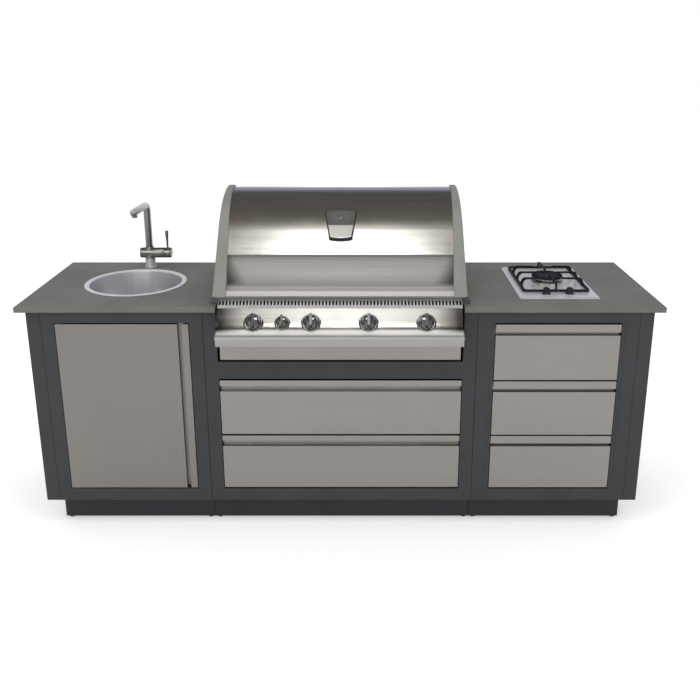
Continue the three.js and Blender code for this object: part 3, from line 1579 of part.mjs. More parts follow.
// A finger of the pan support: it starts on the frame, rises in a hump and ends over the burner
function grateFinger(length, along) {
  const low = grateRise;
  const bar = grateThickness;
  const peak = low + grateFingerRise + bar;
  const rise = bezier([
    [grateBar / 2, low + bar], [grateBar, peak], [2 * grateBar, peak], [3 * grateBar, peak],
  ], fingerSteps);
  const under = peak - grateFingerDepth;
  const fall = bezier([
    [4 * grateBar, under], [3 * grateBar, under], [2 * grateBar, under], [1.5 * grateBar, low],
  ], fingerSteps);
  const outline = [[0, low], [0, low + bar], ...rise, [length, peak], [length, under], ...fall];
  const thick = outset([0, 0], grateFingerThickness / 2);
  const plate = extrudeAlongX(outline, thick);
  const turn = new THREE.Matrix4().makeRotationZ(along.turn).setPosition(along.x, along.y, 0);
  return moved(plate, turn);
}

function hobGrate() {
  const halfX = grateWidth / 2;
  const halfY = grateDepth / 2;
  const z = [grateRise, grateRise + grateThickness];
  const outer = loft(z.map((at) => roundedRing(halfX, halfY, hobCorner * 2, at, hobWellShift)));
  const opening = loft(outset(z, overrun).map((at) =>
    roundedRing(halfX - grateBar, halfY - grateBar, hobCorner, at, hobWellShift)));
  const feet = [-1, 1].flatMap((sx) => [-1, 1].map((sy) => rodAlong(
    axisZ, grateBar / 2, [hobRise + touchGap, z[1]],
    [sx * (halfX - grateBar / 2), sy * (halfY - 3 * grateBar) + hobWellShift, 0], wireSides,
  )));
  const fingers = [];
  const side = grateWidth / 2 - burnerThroatRadius;
  for (const share of grateFingerShares) {
    const y = share * grateDepth + hobWellShift;
    fingers.push(grateFinger(side, { turn: -Math.PI / 2, x: -halfX, y }));
    fingers.push(grateFinger(side, { turn: Math.PI / 2, x: halfX, y }));
  }
  const ahead = grateDepth / 2 - burnerThroatRadius;
  fingers.push(grateFinger(ahead, { turn: 0, x: 0, y: -halfY + hobWellShift }));
  fingers.push(grateFinger(ahead, { turn: Math.PI, x: 0, y: halfY + hobWellShift }));
  return join(cut(outer, opening), ...feet, ...fingers);
}

function hobKnob() {
  const base = hobRise + 2 * touchGap;
  const top = base + hobKnobHeight;
  const body = hobKnobRadius * hobKnobBodyShare;
  const turned = revolve([
    [0, base], [hobKnobRadius, base], [hobKnobRadius, base + sheet], [body, base + 2 * sheet],
    [body * hobKnobNeckShare, top - sheet], [body * hobKnobBodyShare, top], [0, top],
  ], knobSides);
  const ridge = block(outset([0, 0], sheet), outset([0, 0], body), [base + 2 * sheet, top + sheet]);
  const bore = rod(hobStemRadius + touchGap, [0, hobRise + hobKnobHeight / 2 + touchGap], smallSides);
  return cut(join(turned, ridge), bore);
}

function buildHob(hobX) {
  const hob = new THREE.Group();
  hob.position.set(hobX, hobCentreDepth, worktopHeight);
  island.add(hob);
  piece("hob_tray", hobTray(), "brightSteel", hob);
  piece("hob_burner", hobBurner(), "brightSteel", hob).position.y = hobWellShift;
  piece("hob_burner_cap", hobBurnerCap(), "blackEnamel", hob).position.y = hobWellShift;
  piece("hob_pan_support", hobGrate(), "blackEnamel", hob);
  ["left", "right"].forEach((place, i) => {
    const mesh = piece("hob_knob_" + place, hobKnob(), "blackEnamel", hob);
    mesh.position.set((2 * i - 1) * hobKnobSpread, -hobDepth / 2 + hobKnobInset, 0);
  });
}

function buildDrawerCabinet() {
  const wideOpening = inset(drawerModule, stileWidth);
  const centre = middle(drawerModule);
  const x = outset([centre, centre], narrowDrawerWidth / 2);
  const opening = { x: outset(x, doorSideGap), z: [openingBottom, openingTop] };
  const stack = stackOf(3, opening.z, narrowDrawerGap);
  const plans = stack.map((z) => drawerPlan(x, z));
  const linerY = [frontPlane - overrun, frontPlane + linerSetback];
  const liner = cut(
    block(wideOpening, linerY, opening.z), block(opening.x, outset(linerY, overrun), opening.z),
  );
  piece("right_end_panel", endPanel(1), "anthracite");
  piece("drawer_cabinet_shell", carcass(drawerModule, plans), "galvanised");
  piece("drawer_cabinet_frame", cut(faceFrame(drawerModule, [opening]), liner), "anthracite");
  piece("drawer_cabinet_plinth", plinth(drawerModule), "plinthGrey");
  ["lower", "middle", "upper"].forEach((place, i) => {
    buildDrawer(place + "_drawer", x, stack[i], narrowLip, narrowGroove);
  });
  const hobX = slabCentre + hobOffset;
  const cutout = block(
    outset([hobX, hobX], hobWidth / 2 - hobCutoutLap),
    outset([hobCentreDepth, hobCentreDepth], hobDepth / 2 - hobCutoutLap),
    outset([bodyTop, worktopHeight], overrun),
  );
  piece("hob_worktop", cut(slab([cutoutHalf, worktopHalf]), cutout), "stone");
  buildHob(hobX);
}

buildSinkCabinet();
buildGrillCabinet();
buildGrillHead();
buildDrawerCabinet();

// The origin is the middle of the island's box, on the floor.
const part = new THREE.Group();
island.position.y = (lipReach - worktopDepth) / 2;
part.add(island);

export default part;
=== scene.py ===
import json
import math

import bmesh
import bpy
from mathutils import Matrix, Vector


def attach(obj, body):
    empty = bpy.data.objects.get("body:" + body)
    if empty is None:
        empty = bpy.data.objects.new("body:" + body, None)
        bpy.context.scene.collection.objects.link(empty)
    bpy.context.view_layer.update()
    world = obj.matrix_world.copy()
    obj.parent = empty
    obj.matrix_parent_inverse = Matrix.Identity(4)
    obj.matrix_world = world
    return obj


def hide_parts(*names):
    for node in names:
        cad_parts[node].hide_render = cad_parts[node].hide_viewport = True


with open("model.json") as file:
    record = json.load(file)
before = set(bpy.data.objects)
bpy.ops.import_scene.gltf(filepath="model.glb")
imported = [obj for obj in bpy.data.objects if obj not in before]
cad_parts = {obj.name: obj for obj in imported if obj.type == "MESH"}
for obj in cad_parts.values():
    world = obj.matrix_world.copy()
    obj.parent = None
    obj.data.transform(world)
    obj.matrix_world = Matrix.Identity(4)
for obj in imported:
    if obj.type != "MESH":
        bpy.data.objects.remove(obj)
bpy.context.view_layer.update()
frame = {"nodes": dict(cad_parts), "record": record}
scene = bpy.context.scene
scene.view_settings.view_transform = "Standard"
nodes = frame["nodes"]
bodyOf = {node: body for body, members in frame["record"]["behaviour"]["bodies"].items() for node in members}

# Shapes are drawn in millimetres, with y counted from the worktop's front edge and z from the floor.
metre = 1000
island = {"frontEdge": -286, "worktop": 900, "sheet": 2, "sinkX": -823.5, "hobX": 823.5}
toFrame = Matrix.Scale(1 / metre, 4) @ Matrix.Translation((0, island["frontEdge"], 0))
print("stage: frame loaded")


# camera, fitted to the edges of the worktop, the plinth and the drawers
view = {"place": (0.0719, -3.1464, 1.8094), "pitch": 16.474, "lens": 42.662, "shift": (-0.0140, -0.0843),
        "sensor": 36, "farEnd": 60}


def addCamera():
    data = bpy.data.cameras.new("viewCamera")
    data.lens = view["lens"]
    data.sensor_width = view["sensor"]
    data.shift_x, data.shift_y = view["shift"]
    data.clip_end = view["farEnd"]
    camera = bpy.data.objects.new("viewCamera", data)
    camera.location = view["place"]
    camera.rotation_euler = (math.radians(90 - view["pitch"]), 0, 0)
    scene.collection.objects.link(camera)
    scene.camera = camera


# light: an even pale room, one softbox over the front edge and a wide fill
studio = {
    "roomLight": 0.74, "floorSize": 30, "floorTone": 0.93, "floorRoughness": 0.9, "floorLift": 0.34,
    "sideTone": 0.42, "sideReach": (0.35, 0.8),
    "arch": [(0.0, (0.62, 0.62, 0.62)), (0.33, (0.54, 0.53, 0.51)), (0.42, (0.34, 0.32, 0.285)),
             (0.49, (0.17, 0.158, 0.136)), (0.57, (0.13, 0.121, 0.104)), (0.84, (0.1, 0.103, 0.11)),
             (0.885, (0.3, 0.315, 0.4)), (0.93, (0.46, 0.48, 0.62)), (1.0, (0.5, 0.52, 0.66))],
    "stripWidth": (0.03, 0.11), "stripReach": (0.385, 0.485), "stripGlow": 2.5, "stripCentre": -0.014,
}
lamps = {
    "overhead": {"place": (-0.02, -0.95, 3.05), "aim": (0, -0.1, 1.1), "size": (0.9, 0.45), "power": 9},
    "key": {"place": (-2.6, -3.4, 3.3), "aim": (0, 0, 0.5), "size": (2.6, 1.8), "power": 34},
    "fill": {"place": (3.2, -3.0, 2.2), "aim": (0, 0, 0.5), "size": (2.2, 1.8), "power": 14},
    "back": {"place": (0.4, 3.4, 3.0), "aim": (0, 0, 0.8), "size": (3.2, 1.6), "power": 18,
             "mirrored": False},
}


def grey(value):
    return (value, value, value, 1)


def combine(tree, operation, a, b=0.0):
    node = tree.nodes.new("ShaderNodeMath")
    node.operation = operation
    for socket, value in zip(node.inputs, (a, b)):
        if isinstance(value, (int, float)):
            socket.default_value = value
        else:
            tree.links.new(value, socket)
    return node.outputs[0]


def spread(tree, value, low, high, fromLow=0.3, fromHigh=0.7):
    node = tree.nodes.new("ShaderNodeMapRange")
    node.inputs["From Min"].default_value = fromLow
    node.inputs["From Max"].default_value = fromHigh
    node.inputs["To Min"].default_value = low
    node.inputs["To Max"].default_value = high
    tree.links.new(value, node.inputs["Value"])
    return node.outputs["Result"]


def blend(tree, factor, first, second, kind="MIX"):
    node = tree.nodes.new("ShaderNodeMix")
    node.data_type = "RGBA"
    node.blend_type = kind
    tree.links.new(factor, node.inputs["Factor"])
    for socket, value in ((node.inputs[6], first), (node.inputs[7], second)):
        if isinstance(value, tuple):
            socket.default_value = value
        else:
            tree.links.new(value, socket)
    return node.outputs[2]


def coordinates(tree, source="Object"):
    place = tree.nodes.new("ShaderNodeTexCoord")
    split = tree.nodes.new("ShaderNodeSeparateXYZ")
    tree.links.new(place.outputs[source], split.inputs[0])
    return split.outputs


def addSoftbox(name, place, aim, size, power, mirrored=True):
    data = bpy.data.lights.new(name, "AREA")
    data.shape = "RECTANGLE"
    data.size, data.size_y = size
    data.energy = power
    lamp = bpy.data.objects.new(name, data)
    lamp.location = place
    lamp.visible_glossy = mirrored
    lamp.rotation_euler = (Vector(aim) - Vector(place)).to_track_quat("-Z", "Y").to_euler()
    scene.collection.objects.link(lamp)


# What metal mirrors: an arch of tones from the front horizon over the top to the rear one, which fades to one
# tone at the sides, with a bright strip from the front to high up
def mirroredRoom(tree):
    x, y, z = coordinates(tree, "Generated")
    turn = combine(tree, "ARCTAN2", z, combine(tree, "MULTIPLY", y, -1))
    turn = combine(tree, "DIVIDE", turn, math.pi)
    arch = tree.nodes.new("ShaderNodeValToRGB")
    stops = arch.color_ramp.elements
    for position, colour in studio["arch"][2:]:
        stops.new(position)
    for stop, (position, colour) in zip(stops, studio["arch"]):
        stop.position = position
        stop.color = (*colour, 1)
    tree.links.new(turn, arch.inputs["Fac"])
    aside = combine(tree, "ABSOLUTE", x)
    fromStrip = combine(tree, "ABSOLUTE", combine(tree, "SUBTRACT", x, studio["stripCentre"]))
    strip = combine(tree, "MULTIPLY", spread(tree, fromStrip, 1, 0, *studio["stripWidth"]),
                    spread(tree, turn, 1, 0, *studio["stripReach"]))
    room = blend(tree, spread(tree, aside, 0, 1, *studio["sideReach"]), arch.outputs["Color"],
                 grey(studio["sideTone"]))
    shown = tree.nodes.new("ShaderNodeBackground")
    tree.links.new(blend(tree, strip, room, grey(studio["stripGlow"])), shown.inputs["Color"])
    return shown


def addRoom():
    world = bpy.data.worlds.new("room")
    scene.world = world
    world.use_nodes = True
    tree = world.node_tree
    tree.nodes.clear()
    link = tree.links.new
    path = tree.nodes.new("ShaderNodeLightPath")
    even, white = (tree.nodes.new("ShaderNodeBackground") for _ in range(2))
    for light in (even, white):
        light.inputs["Color"].default_value = grey(1)
    even.inputs["Strength"].default_value = studio["roomLight"]
    first, second = (tree.nodes.new("ShaderNodeMixShader") for _ in range(2))
    link(path.outputs["Is Glossy Ray"], first.inputs["Fac"])
    link(even.outputs[0], first.inputs[1])
    link(mirroredRoom(tree).outputs[0], first.inputs[2])
    link(combine(tree, "MAXIMUM", path.outputs["Is Camera Ray"], path.outputs["Is Transmission Ray"]),
         second.inputs["Fac"])
    link(first.outputs[0], second.inputs[1])
    link(white.outputs[0], second.inputs[2])
    link(second.outputs[0], tree.nodes.new("ShaderNodeOutputWorld").inputs["Surface"])


def shaderOf(name):
    material = bpy.data.materials.new(name)
    material.use_nodes = True
    tree = material.node_tree
    return material, tree, tree.nodes["Principled BSDF"]


def addFloor():
    bpy.ops.mesh.primitive_plane_add(size=studio["floorSize"], location=(0, 0, 0))
    floor = bpy.context.active_object
    floor.name = "floor"
    material, tree, shader = shaderOf("paleFloor")
    shader.inputs["Base Color"].default_value = grey(studio["floorTone"])
    shader.inputs["Roughness"].default_value = studio["floorRoughness"]
    shader.inputs["Specular IOR Level"].default_value = 0
    shader.inputs["Emission Color"].default_value = grey(1)
    path = tree.nodes.new("ShaderNodeLightPath")
    lift = combine(tree, "MULTIPLY", path.outputs["Is Camera Ray"], studio["floorLift"])
    tree.links.new(lift, shader.inputs["Emission Strength"])
    floor.data.materials.append(material)


addCamera()
addRoom()
addFloor()
for lampName, lampValues in lamps.items():
    addSoftbox(lampName, **lampValues)
print("stage: camera and light")


# materials, all on object coordinates
def noiseOn(tree, scale, grain=(1, 1, 1), detail=4.0, roughness=0.55):
    place = tree.nodes.new("ShaderNodeTexCoord")
    mapping = tree.nodes.new("ShaderNodeMapping")
    mapping.inputs["Scale"].default_value = grain
    noise = tree.nodes.new("ShaderNodeTexNoise")
    noise.inputs["Scale"].default_value = scale
    noise.inputs["Detail"].default_value = detail
    noise.inputs["Roughness"].default_value = roughness
    tree.links.new(place.outputs["Object"], mapping.inputs["Vector"])
    tree.links.new(mapping.outputs["Vector"], noise.inputs["Vector"])
    return noise.outputs["Fac"]


# The tone itself, times a low and a high share as the factor goes from 0 to 1
def twoTone(tree, factor, tone, low, high):
    return blend(tree, factor, (*(v * low for v in tone), 1), (*(v * high for v in tone), 1))


def mixTwo(tree, first, second, share):
    return combine(tree, "ADD", combine(tree, "MULTIPLY", first, share),
                   combine(tree, "MULTIPLY", second, round(1 - share, 4)))


def bumpFrom(tree, shader, height, strength, distance):
    node = tree.nodes.new("ShaderNodeBump")
    node.inputs["Strength"].default_value = strength
    node.inputs["Distance"].default_value = distance
    tree.links.new(height, node.inputs["Height"])
    tree.links.new(node.outputs["Normal"], shader.inputs["Normal"])


# Brushed metal: fine streaks along the grain, faint wide bands, and handling marks that change the gloss
def brushedMetal(name, tone, grain, roughness, streak=0.14, marks=0.06, bump=0.12, metallic=1.0):
    material, tree, shader = shaderOf(name)
    fine = noiseOn(tree, 1.0, grain, 5.0, 0.65)
    wide = noiseOn(tree, 1.0, tuple(v * 0.12 for v in grain), 2.0)
    smudge = noiseOn(tree, 5.0, (1, 1, 1), 3.0)
    streaks = spread(tree, mixTwo(tree, fine, wide, 0.65), 0, 1)
    tree.links.new(twoTone(tree, streaks, tone, 1 - streak, 1 + streak), shader.inputs["Base Color"])
    gloss = combine(tree, "ADD", spread(tree, fine, roughness - 0.05, roughness + 0.05),
                    spread(tree, smudge, -marks, marks))
    tree.links.new(gloss, shader.inputs["Roughness"])
    shader.inputs["Metallic"].default_value = metallic
    bumpFrom(tree, shader, fine, bump, 0.0004)
    return material


# Powder coat: a dark matt colour with an orange-peel skin and faint dust in the tone
def powderCoat(name, tone, roughness=0.52):
    material, tree, shader = shaderOf(name)
    peel = noiseOn(tree, 900, detail=2.0)
    dust = noiseOn(tree, 7, detail=4.0)
    tree.links.new(twoTone(tree, spread(tree, dust, 0, 1), tone, 0.88, 1.14), shader.inputs["Base Color"])
    tree.links.new(spread(tree, dust, roughness - 0.05, roughness + 0.07), shader.inputs["Roughness"])
    shader.inputs["Specular IOR Level"].default_value = 0.35
    bumpFrom(tree, shader, peel, 0.25, 0.0002)
    return material


# Worktop board: a fine mineral speckle over slow clouds, matt with a faint texture
def mineralBoard(name, tone):
    material, tree, shader = shaderOf(name)
    speckle = noiseOn(tree, 520, detail=3.0, roughness=0.7)
    cloud = noiseOn(tree, 4.5, detail=5.0)
    mixed = spread(tree, mixTwo(tree, speckle, cloud, 0.55), 0, 1, 0.35, 0.65)
    tree.links.new(twoTone(tree, mixed, tone, 0.78, 1.2), shader.inputs["Base Color"])
    tree.links.new(spread(tree, speckle, 0.5, 0.66), shader.inputs["Roughness"])
    shader.inputs["Specular IOR Level"].default_value = 0.3
    bumpFrom(tree, shader, speckle, 0.18, 0.0003)
    return material


# Zinc-coated sheet with its frost-like crystals
def zincCoat(name, tone):
    material, tree, shader = shaderOf(name)
    place = tree.nodes.new("ShaderNodeTexCoord")
    crystal = tree.nodes.new("ShaderNodeTexVoronoi")
    crystal.inputs["Scale"].default_value = 60
    tree.links.new(place.outputs["Object"], crystal.inputs["Vector"])
    frost = tree.nodes.new("ShaderNodeRGBToBW")
    tree.links.new(crystal.outputs["Color"], frost.inputs[0])
    tree.links.new(twoTone(tree, frost.outputs[0], tone, 0.82, 1.15), shader.inputs["Base Color"])
    tree.links.new(spread(tree, frost.outputs[0], 0.38, 0.56, 0, 1), shader.inputs["Roughness"])
    shader.inputs["Metallic"].default_value = 0.85
    bumpFrom(tree, shader, frost.outputs[0], 0.05, 0.0003)
    return material


# Cast or enamelled surfaces: a grainy skin with small changes in gloss
def grainySkin(name, tone, roughness, metallic=0.0, scale=260, depth=0.3, spreadTone=0.1, sheen=0.5):
    material, tree, shader = shaderOf(name)
    grain = noiseOn(tree, scale, detail=3.0, roughness=0.6)
    cloud = spread(tree, noiseOn(tree, 9, detail=3.0), 0, 1)
    tree.links.new(twoTone(tree, cloud, tone, 1 - spreadTone, 1 + spreadTone), shader.inputs["Base Color"])
    tree.links.new(spread(tree, grain, roughness - 0.06, roughness + 0.08), shader.inputs["Roughness"])
    shader.inputs["Metallic"].default_value = metallic
    shader.inputs["Specular IOR Level"].default_value = sheen
    bumpFrom(tree, shader, grain, depth, 0.0003)
    return material


# Heat-tinted steel of the parts that sit in the flames
def tintedSteel(name, tone, tint):
    material, tree, shader = shaderOf(name)
    cloud = noiseOn(tree, 14, detail=4.0)
    grain = noiseOn(tree, 500, detail=3.0)
    heat = spread(tree, cloud, 0, 1, 0.4, 0.65)
    tree.links.new(blend(tree, heat, (*tone, 1), (*tint, 1)), shader.inputs["Base Color"])
    tree.links.new(spread(tree, cloud, 0.3, 0.5), shader.inputs["Roughness"])
    shader.inputs["Metallic"].default_value = 1
    bumpFrom(tree, shader, grain, 0.1, 0.0002)
    return material


# Each finish has the function that builds it, the slot of every piece that wears it, and its values.
alongX = (2.5, 420, 420)
satinAlongX = (3, 60, 60)
satinAlongZ = (60, 60, 3)
evenGrain = (60, 60, 60)
looks = {
    "worktopBoard": (mineralBoard, "worktop", {"tone": (0.165, 0.167, 0.154)}),
    "anthraciteCoat": (powderCoat, "frame_coat", {"tone": (0.043, 0.046, 0.05)}),
    "plinthCoat": (powderCoat, "plinth_coat", {"tone": (0.03, 0.032, 0.036), "roughness": 0.6}),
    "zincSheet": (zincCoat, None, {"tone": (0.46, 0.48, 0.5)}),
    "doorSteel": (brushedMetal, "brushed_steel", {
        "tone": (0.3, 0.282, 0.265), "grain": satinAlongZ, "roughness": 0.4, "streak": 0.05}),
    "drawerSteel": (brushedMetal, "brushed_steel", {
        "tone": (0.372, 0.352, 0.334), "grain": satinAlongX, "roughness": 0.4, "streak": 0.05}),
    "hoodSteel": (brushedMetal, "brushed_steel", {
        "tone": (0.55, 0.53, 0.49), "grain": alongX, "roughness": 0.2, "marks": 0.04}),
    "panelSteel": (brushedMetal, "bright_steel", {
        "tone": (0.56, 0.54, 0.5), "grain": alongX, "roughness": 0.2, "streak": 0.12, "marks": 0.04}),
    "rackSteel": (brushedMetal, "bright_steel", {
        "tone": (0.5, 0.49, 0.47), "grain": alongX, "roughness": 0.25}),
    "gaugeSteel": (brushedMetal, "bright_steel", {
        "tone": (0.75, 0.74, 0.71), "grain": alongX, "roughness": 0.2, "streak": 0.05, "marks": 0.03}),
    # The firebox's dark tone is painted shade behind the cooling slots.
    "fireboxSteel": (brushedMetal, None, {
        "tone": (0.16, 0.155, 0.15), "grain": alongX, "roughness": 0.42}),
    "bowlSteel": (brushedMetal, "bright_steel", {
        "tone": (0.8, 0.8, 0.83), "grain": (60, 60, 4), "roughness": 0.34, "streak": 0.06, "marks": 0.05}),
    "tapSteel": (brushedMetal, "bright_steel", {
        "tone": (0.3, 0.298, 0.285), "grain": (420, 420, 14), "roughness": 0.27, "streak": 0.1,
        "marks": 0.04, "bump": 0.03}),
    "knobSteel": (brushedMetal, "bright_steel", {
        "tone": (0.15, 0.15, 0.152), "grain": (500, 500, 500), "roughness": 0.1, "streak": 0.08,
        "marks": 0.03, "bump": 0.03}),
    "hobSteel": (brushedMetal, "bright_steel", {
        "tone": (0.72, 0.72, 0.74), "grain": alongX, "roughness": 0.22, "streak": 0.06, "marks": 0.04,
        "metallic": 0.4}),
    "castCaps": (grainySkin, "cast_metal", {"tone": (0.235, 0.238, 0.215), "roughness": 0.5}),
    "blackEnamel": (grainySkin, "black_enamel", {
        "tone": (0.01, 0.01, 0.011), "roughness": 0.5, "scale": 180, "depth": 0.2, "sheen": 0.25}),
    "rodEnamel": (grainySkin, "black_enamel", {
        "tone": (0.03, 0.03, 0.032), "roughness": 0.4, "scale": 300, "depth": 0.35}),
    "heatedSteel": (tintedSteel, None, {"tone": (0.5, 0.47, 0.42), "tint": (0.36, 0.27, 0.2)}),
    "valveBrass": (grainySkin, None, {
        "tone": (0.6, 0.47, 0.22), "roughness": 0.3, "metallic": 1.0, "scale": 400, "depth": 0.15}),
    "darkPlastic": (grainySkin, "black_enamel", {
        "tone": (0.016, 0.016, 0.018), "roughness": 0.42, "scale": 700, "depth": 0.15, "sheen": 0.3}),
    "dialFace": (grainySkin, "bright_steel", {
        "tone": (0.09, 0.09, 0.084), "roughness": 0.5, "scale": 500, "depth": 0.05, "spreadTone": 0.03,
        "sheen": 0.3}),
    "dialPrint": (grainySkin, "black_enamel", {
        "tone": (0.26, 0.26, 0.25), "roughness": 0.5, "scale": 500, "depth": 0.05, "spreadTone": 0.03,
        "sheen": 0.3}),
}
finishes = {name: build(name, **values) for name, (build, _, values) in looks.items()}


# A step over one coordinate, |x|, y or z: 0 at the first value and 1 at the second
def stepOver(tree, axis, first, second, source="Object"):
    value = coordinates(tree, source)[axis]
    if axis == "X":
        value = combine(tree, "ABSOLUTE", value)
    return spread(tree, value, 0, 1, first, second)


def firstLink(shader, socket):
    return shader.inputs[socket].links[0].from_socket


# Satin ground metal where the mask is 1: rougher, and scattering light instead of mirroring the room. Its
# tone is painted light and shade, set for each zone.
def addSatinWithPaintedTone(finish, mask, tone, grain=alongX, roughness=0.48, metallic=0.3):
    tree = finishes[finish].node_tree
    shader = tree.nodes["Principled BSDF"]
    fine = noiseOn(tree, 1.0, grain, 4.0, 0.6)
    ground = twoTone(tree, spread(tree, fine, 0, 1), tone, 0.9, 1.1)
    tree.links.new(blend(tree, mask, firstLink(shader, "Base Color"), ground), shader.inputs["Base Color"])
    keep = combine(tree, "SUBTRACT", 1, mask)
    gloss = combine(tree, "ADD", combine(tree, "MULTIPLY", firstLink(shader, "Roughness"), keep),
                    combine(tree, "MULTIPLY", mask, roughness))
    tree.links.new(gloss, shader.inputs["Roughness"])
    metal = shader.inputs["Metallic"]
    before = metal.links[0].from_socket if metal.links else 1
    tree.links.new(combine(tree, "ADD", combine(tree, "MULTIPLY", before, keep),
                           combine(tree, "MULTIPLY", mask, metallic)), metal)


# Painted shade: the tone falls to a share of itself where the mask is 1.
def addPaintedShade(finish, mask, share):
    tree = finishes[finish].node_tree
    shader = tree.nodes["Principled BSDF"]
    dark = blend(tree, mask, firstLink(shader, "Base Color"), grey(share), "MULTIPLY")
    tree.links.new(dark, shader.inputs["Base Color"])


# Zones of painted light and shade. The mask is 0 at the first value and 1 at the second.
# These are heights in metres above the floor,
zones = {
    "channel": (1.0655, 1.0645), "channelFoot": (0.960, 0.970), "lidLip": (0.9615, 0.9605),
    "slotStrip": (0.8972, 0.8985), "roll": (0.834, 0.828), "lipFront": (0.822, 0.819),
    "troughFoot": (0.819, 0.83), "bowlRim": (0.8985, 0.8995), "tapArm": (1.15, 1.175),
    "tapFoot": (0.945, 0.935),
    # a distance in metres from the island's middle,
    "troughEnd": (0.345, 0.43),
    # and two parts of the surface normal
    "slotFront": (0.1, 0.3), "slotSide": (0.3, 0.6),
}
# Satin zones: the satin is partly the metal's own finish, and the tones are painted light on the slotted
# strip, the lid's lip, the roll, the bowl's rim and the tap's arm, and painted shade in the grip channel, on
# the trough's front lip, the tap's foot and the thermometer's upper part.
satinPaintedTones = {
    "channel": {"tone": (0.33, 0.318, 0.3)},
    "lidLip": {"tone": (0.48, 0.46, 0.44)},
    "slotStrip": {"tone": (0.42, 0.412, 0.4)},
    "roll": {"tone": (0.95, 0.94, 0.9)},
    "lipFront": {"tone": (0.4, 0.39, 0.38)},
    "bowlRim": {"tone": (0.68, 0.68, 0.7), "grain": evenGrain, "roughness": 0.4, "metallic": 0.1},
    "tapArm": {"tone": (0.9, 0.91, 0.97), "grain": evenGrain, "roughness": 0.32, "metallic": 0.4},
    "tapFoot": {"tone": (0.48, 0.48, 0.47), "grain": evenGrain, "roughness": 0.4, "metallic": 0.3},
    "gaugePaintedDarkTop": {"tone": (0.095, 0.094, 0.088)},
}
# The share of the tone that is left in painted shade: at the grip channel's ends, the trough's ends, the
# panel's rear-facing faces and the slots' side walls. The painted shade at the grip channel's ends is a
# wedge: it starts at a distance in metres from the middle, and nearer to it at the channel's foot.
paintedShades = {"channelEnd": 0.2, "wedge": (0.415, 0.475), "wedgeSlope": 0.75, "troughEnd": 0.12,
          "slotFront": 0.06, "slotSide": 0.1}


def zoneMask(finish, zone, axis="Z", source="Object"):
    return stepOver(finishes[finish].node_tree, axis, *zones[zone], source)


# The grip channel and the lip below it in satin with painted tones, and a wedge of painted shade at both ends
# of the channel
def shadeHood():
    tree = finishes["hoodSteel"].node_tree
    channel = zoneMask("hoodSteel", "channel")
    inside = combine(tree, "MULTIPLY", channel, zoneMask("hoodSteel", "channelFoot"))
    addSatinWithPaintedTone("hoodSteel", channel, **satinPaintedTones["channel"])
    x, _, z = coordinates(tree)
    drop = combine(tree, "MULTIPLY", combine(tree, "SUBTRACT", zones["channel"][1], z), paintedShades["wedgeSlope"])
    wedge = spread(tree, combine(tree, "ADD", combine(tree, "ABSOLUTE", x), drop), 0, 1, *paintedShades["wedge"])
    addPaintedShade("hoodSteel", combine(tree, "MULTIPLY", inside, wedge), paintedShades["channelEnd"])
    addSatinWithPaintedTone("hoodSteel", zoneMask("hoodSteel", "lidLip"), **satinPaintedTones["lidLip"])


# The slotted strip and the rolled lip are satin with painted tones; the trough's ends, the panel's
# rear-facing faces and the slots' side walls get painted shade.
def shadePanel():
    tree = finishes["panelSteel"].node_tree
    strip = zoneMask("panelSteel", "slotStrip")
    addSatinWithPaintedTone("panelSteel", strip, **satinPaintedTones["slotStrip"])
    for zone in ("roll", "lipFront"):
        addSatinWithPaintedTone("panelSteel", zoneMask("panelSteel", zone), **satinPaintedTones[zone])
    below = combine(tree, "SUBTRACT", 1, strip)
    ends = combine(tree, "MULTIPLY", zoneMask("panelSteel", "troughEnd", "X"), below)
    trough = combine(tree, "MULTIPLY", ends, zoneMask("panelSteel", "troughFoot"))
    addPaintedShade("panelSteel", trough, paintedShades["troughEnd"])
    addPaintedShade("panelSteel", zoneMask("panelSteel", "slotFront", "Y", "Normal"), paintedShades["slotFront"])
    side = combine(tree, "MULTIPLY", strip, zoneMask("panelSteel", "slotSide", "X", "Normal"))
    addPaintedShade("panelSteel", side, paintedShades["slotSide"])


shadeHood()
shadePanel()
# The bowl's rim, the tap's arm and the tap's foot are satin with painted tones: lighter on the rim and the
# arm, darker on the foot.
for finishName, zoneName in (("bowlSteel", "bowlRim"), ("tapSteel", "tapArm"), ("tapSteel", "tapFoot")):
    addSatinWithPaintedTone(finishName, zoneMask(finishName, zoneName), **satinPaintedTones[zoneName])
print("stage: materials")


# mesh helpers
def addPrism(bm, outline, axis, low, high):
    def corner(a, b, t):
        return {"x": (t, a, b), "y": (a, t, b), "z": (a, b, t)}[axis]

    ends = [[bm.verts.new(corner(a, b, t)) for a, b in outline] for t in (low, high)]
    bm.faces.new(ends[0])
    bm.faces.new(list(reversed(ends[1])))
    count = len(outline)
    for i in range(count):
        j = (i + 1) % count
        bm.faces.new((ends[0][i], ends[1][i], ends[1][j], ends[0][j]))


def addBox(bm, x, y, z):
    addPrism(bm, [(x[0], y[0]), (x[1], y[0]), (x[1], y[1]), (x[0], y[1])], "z", z[0], z[1])


# A profile of radius and height turned round the Z axis; one that starts off the axis is closed into a ring.
def addLathe(bm, profile, steps, matrix=Matrix.Identity(4)):
    closed = profile[0][0] > 0
    rings = []
    for radius, height in profile:
        if radius < 1e-6:
            rings.append([bm.verts.new(matrix @ Vector((0, 0, height)))])
            continue
        turns = [2 * math.pi * k / steps for k in range(steps)]
        rings.append([bm.verts.new(matrix @ Vector((radius * math.cos(t), radius * math.sin(t), height)))
                      for t in turns])
    pairs = list(zip(rings, rings[1:])) + ([(rings[-1], rings[0])] if closed else [])
    for a, b in pairs:
        for k in range(steps):
            n = (k + 1) % steps
            corners = [a[k % len(a)], a[n % len(a)], b[n % len(b)], b[k % len(b)]]
            corners = list(dict.fromkeys(corners))
            if len(corners) > 2:
                bm.faces.new(corners)


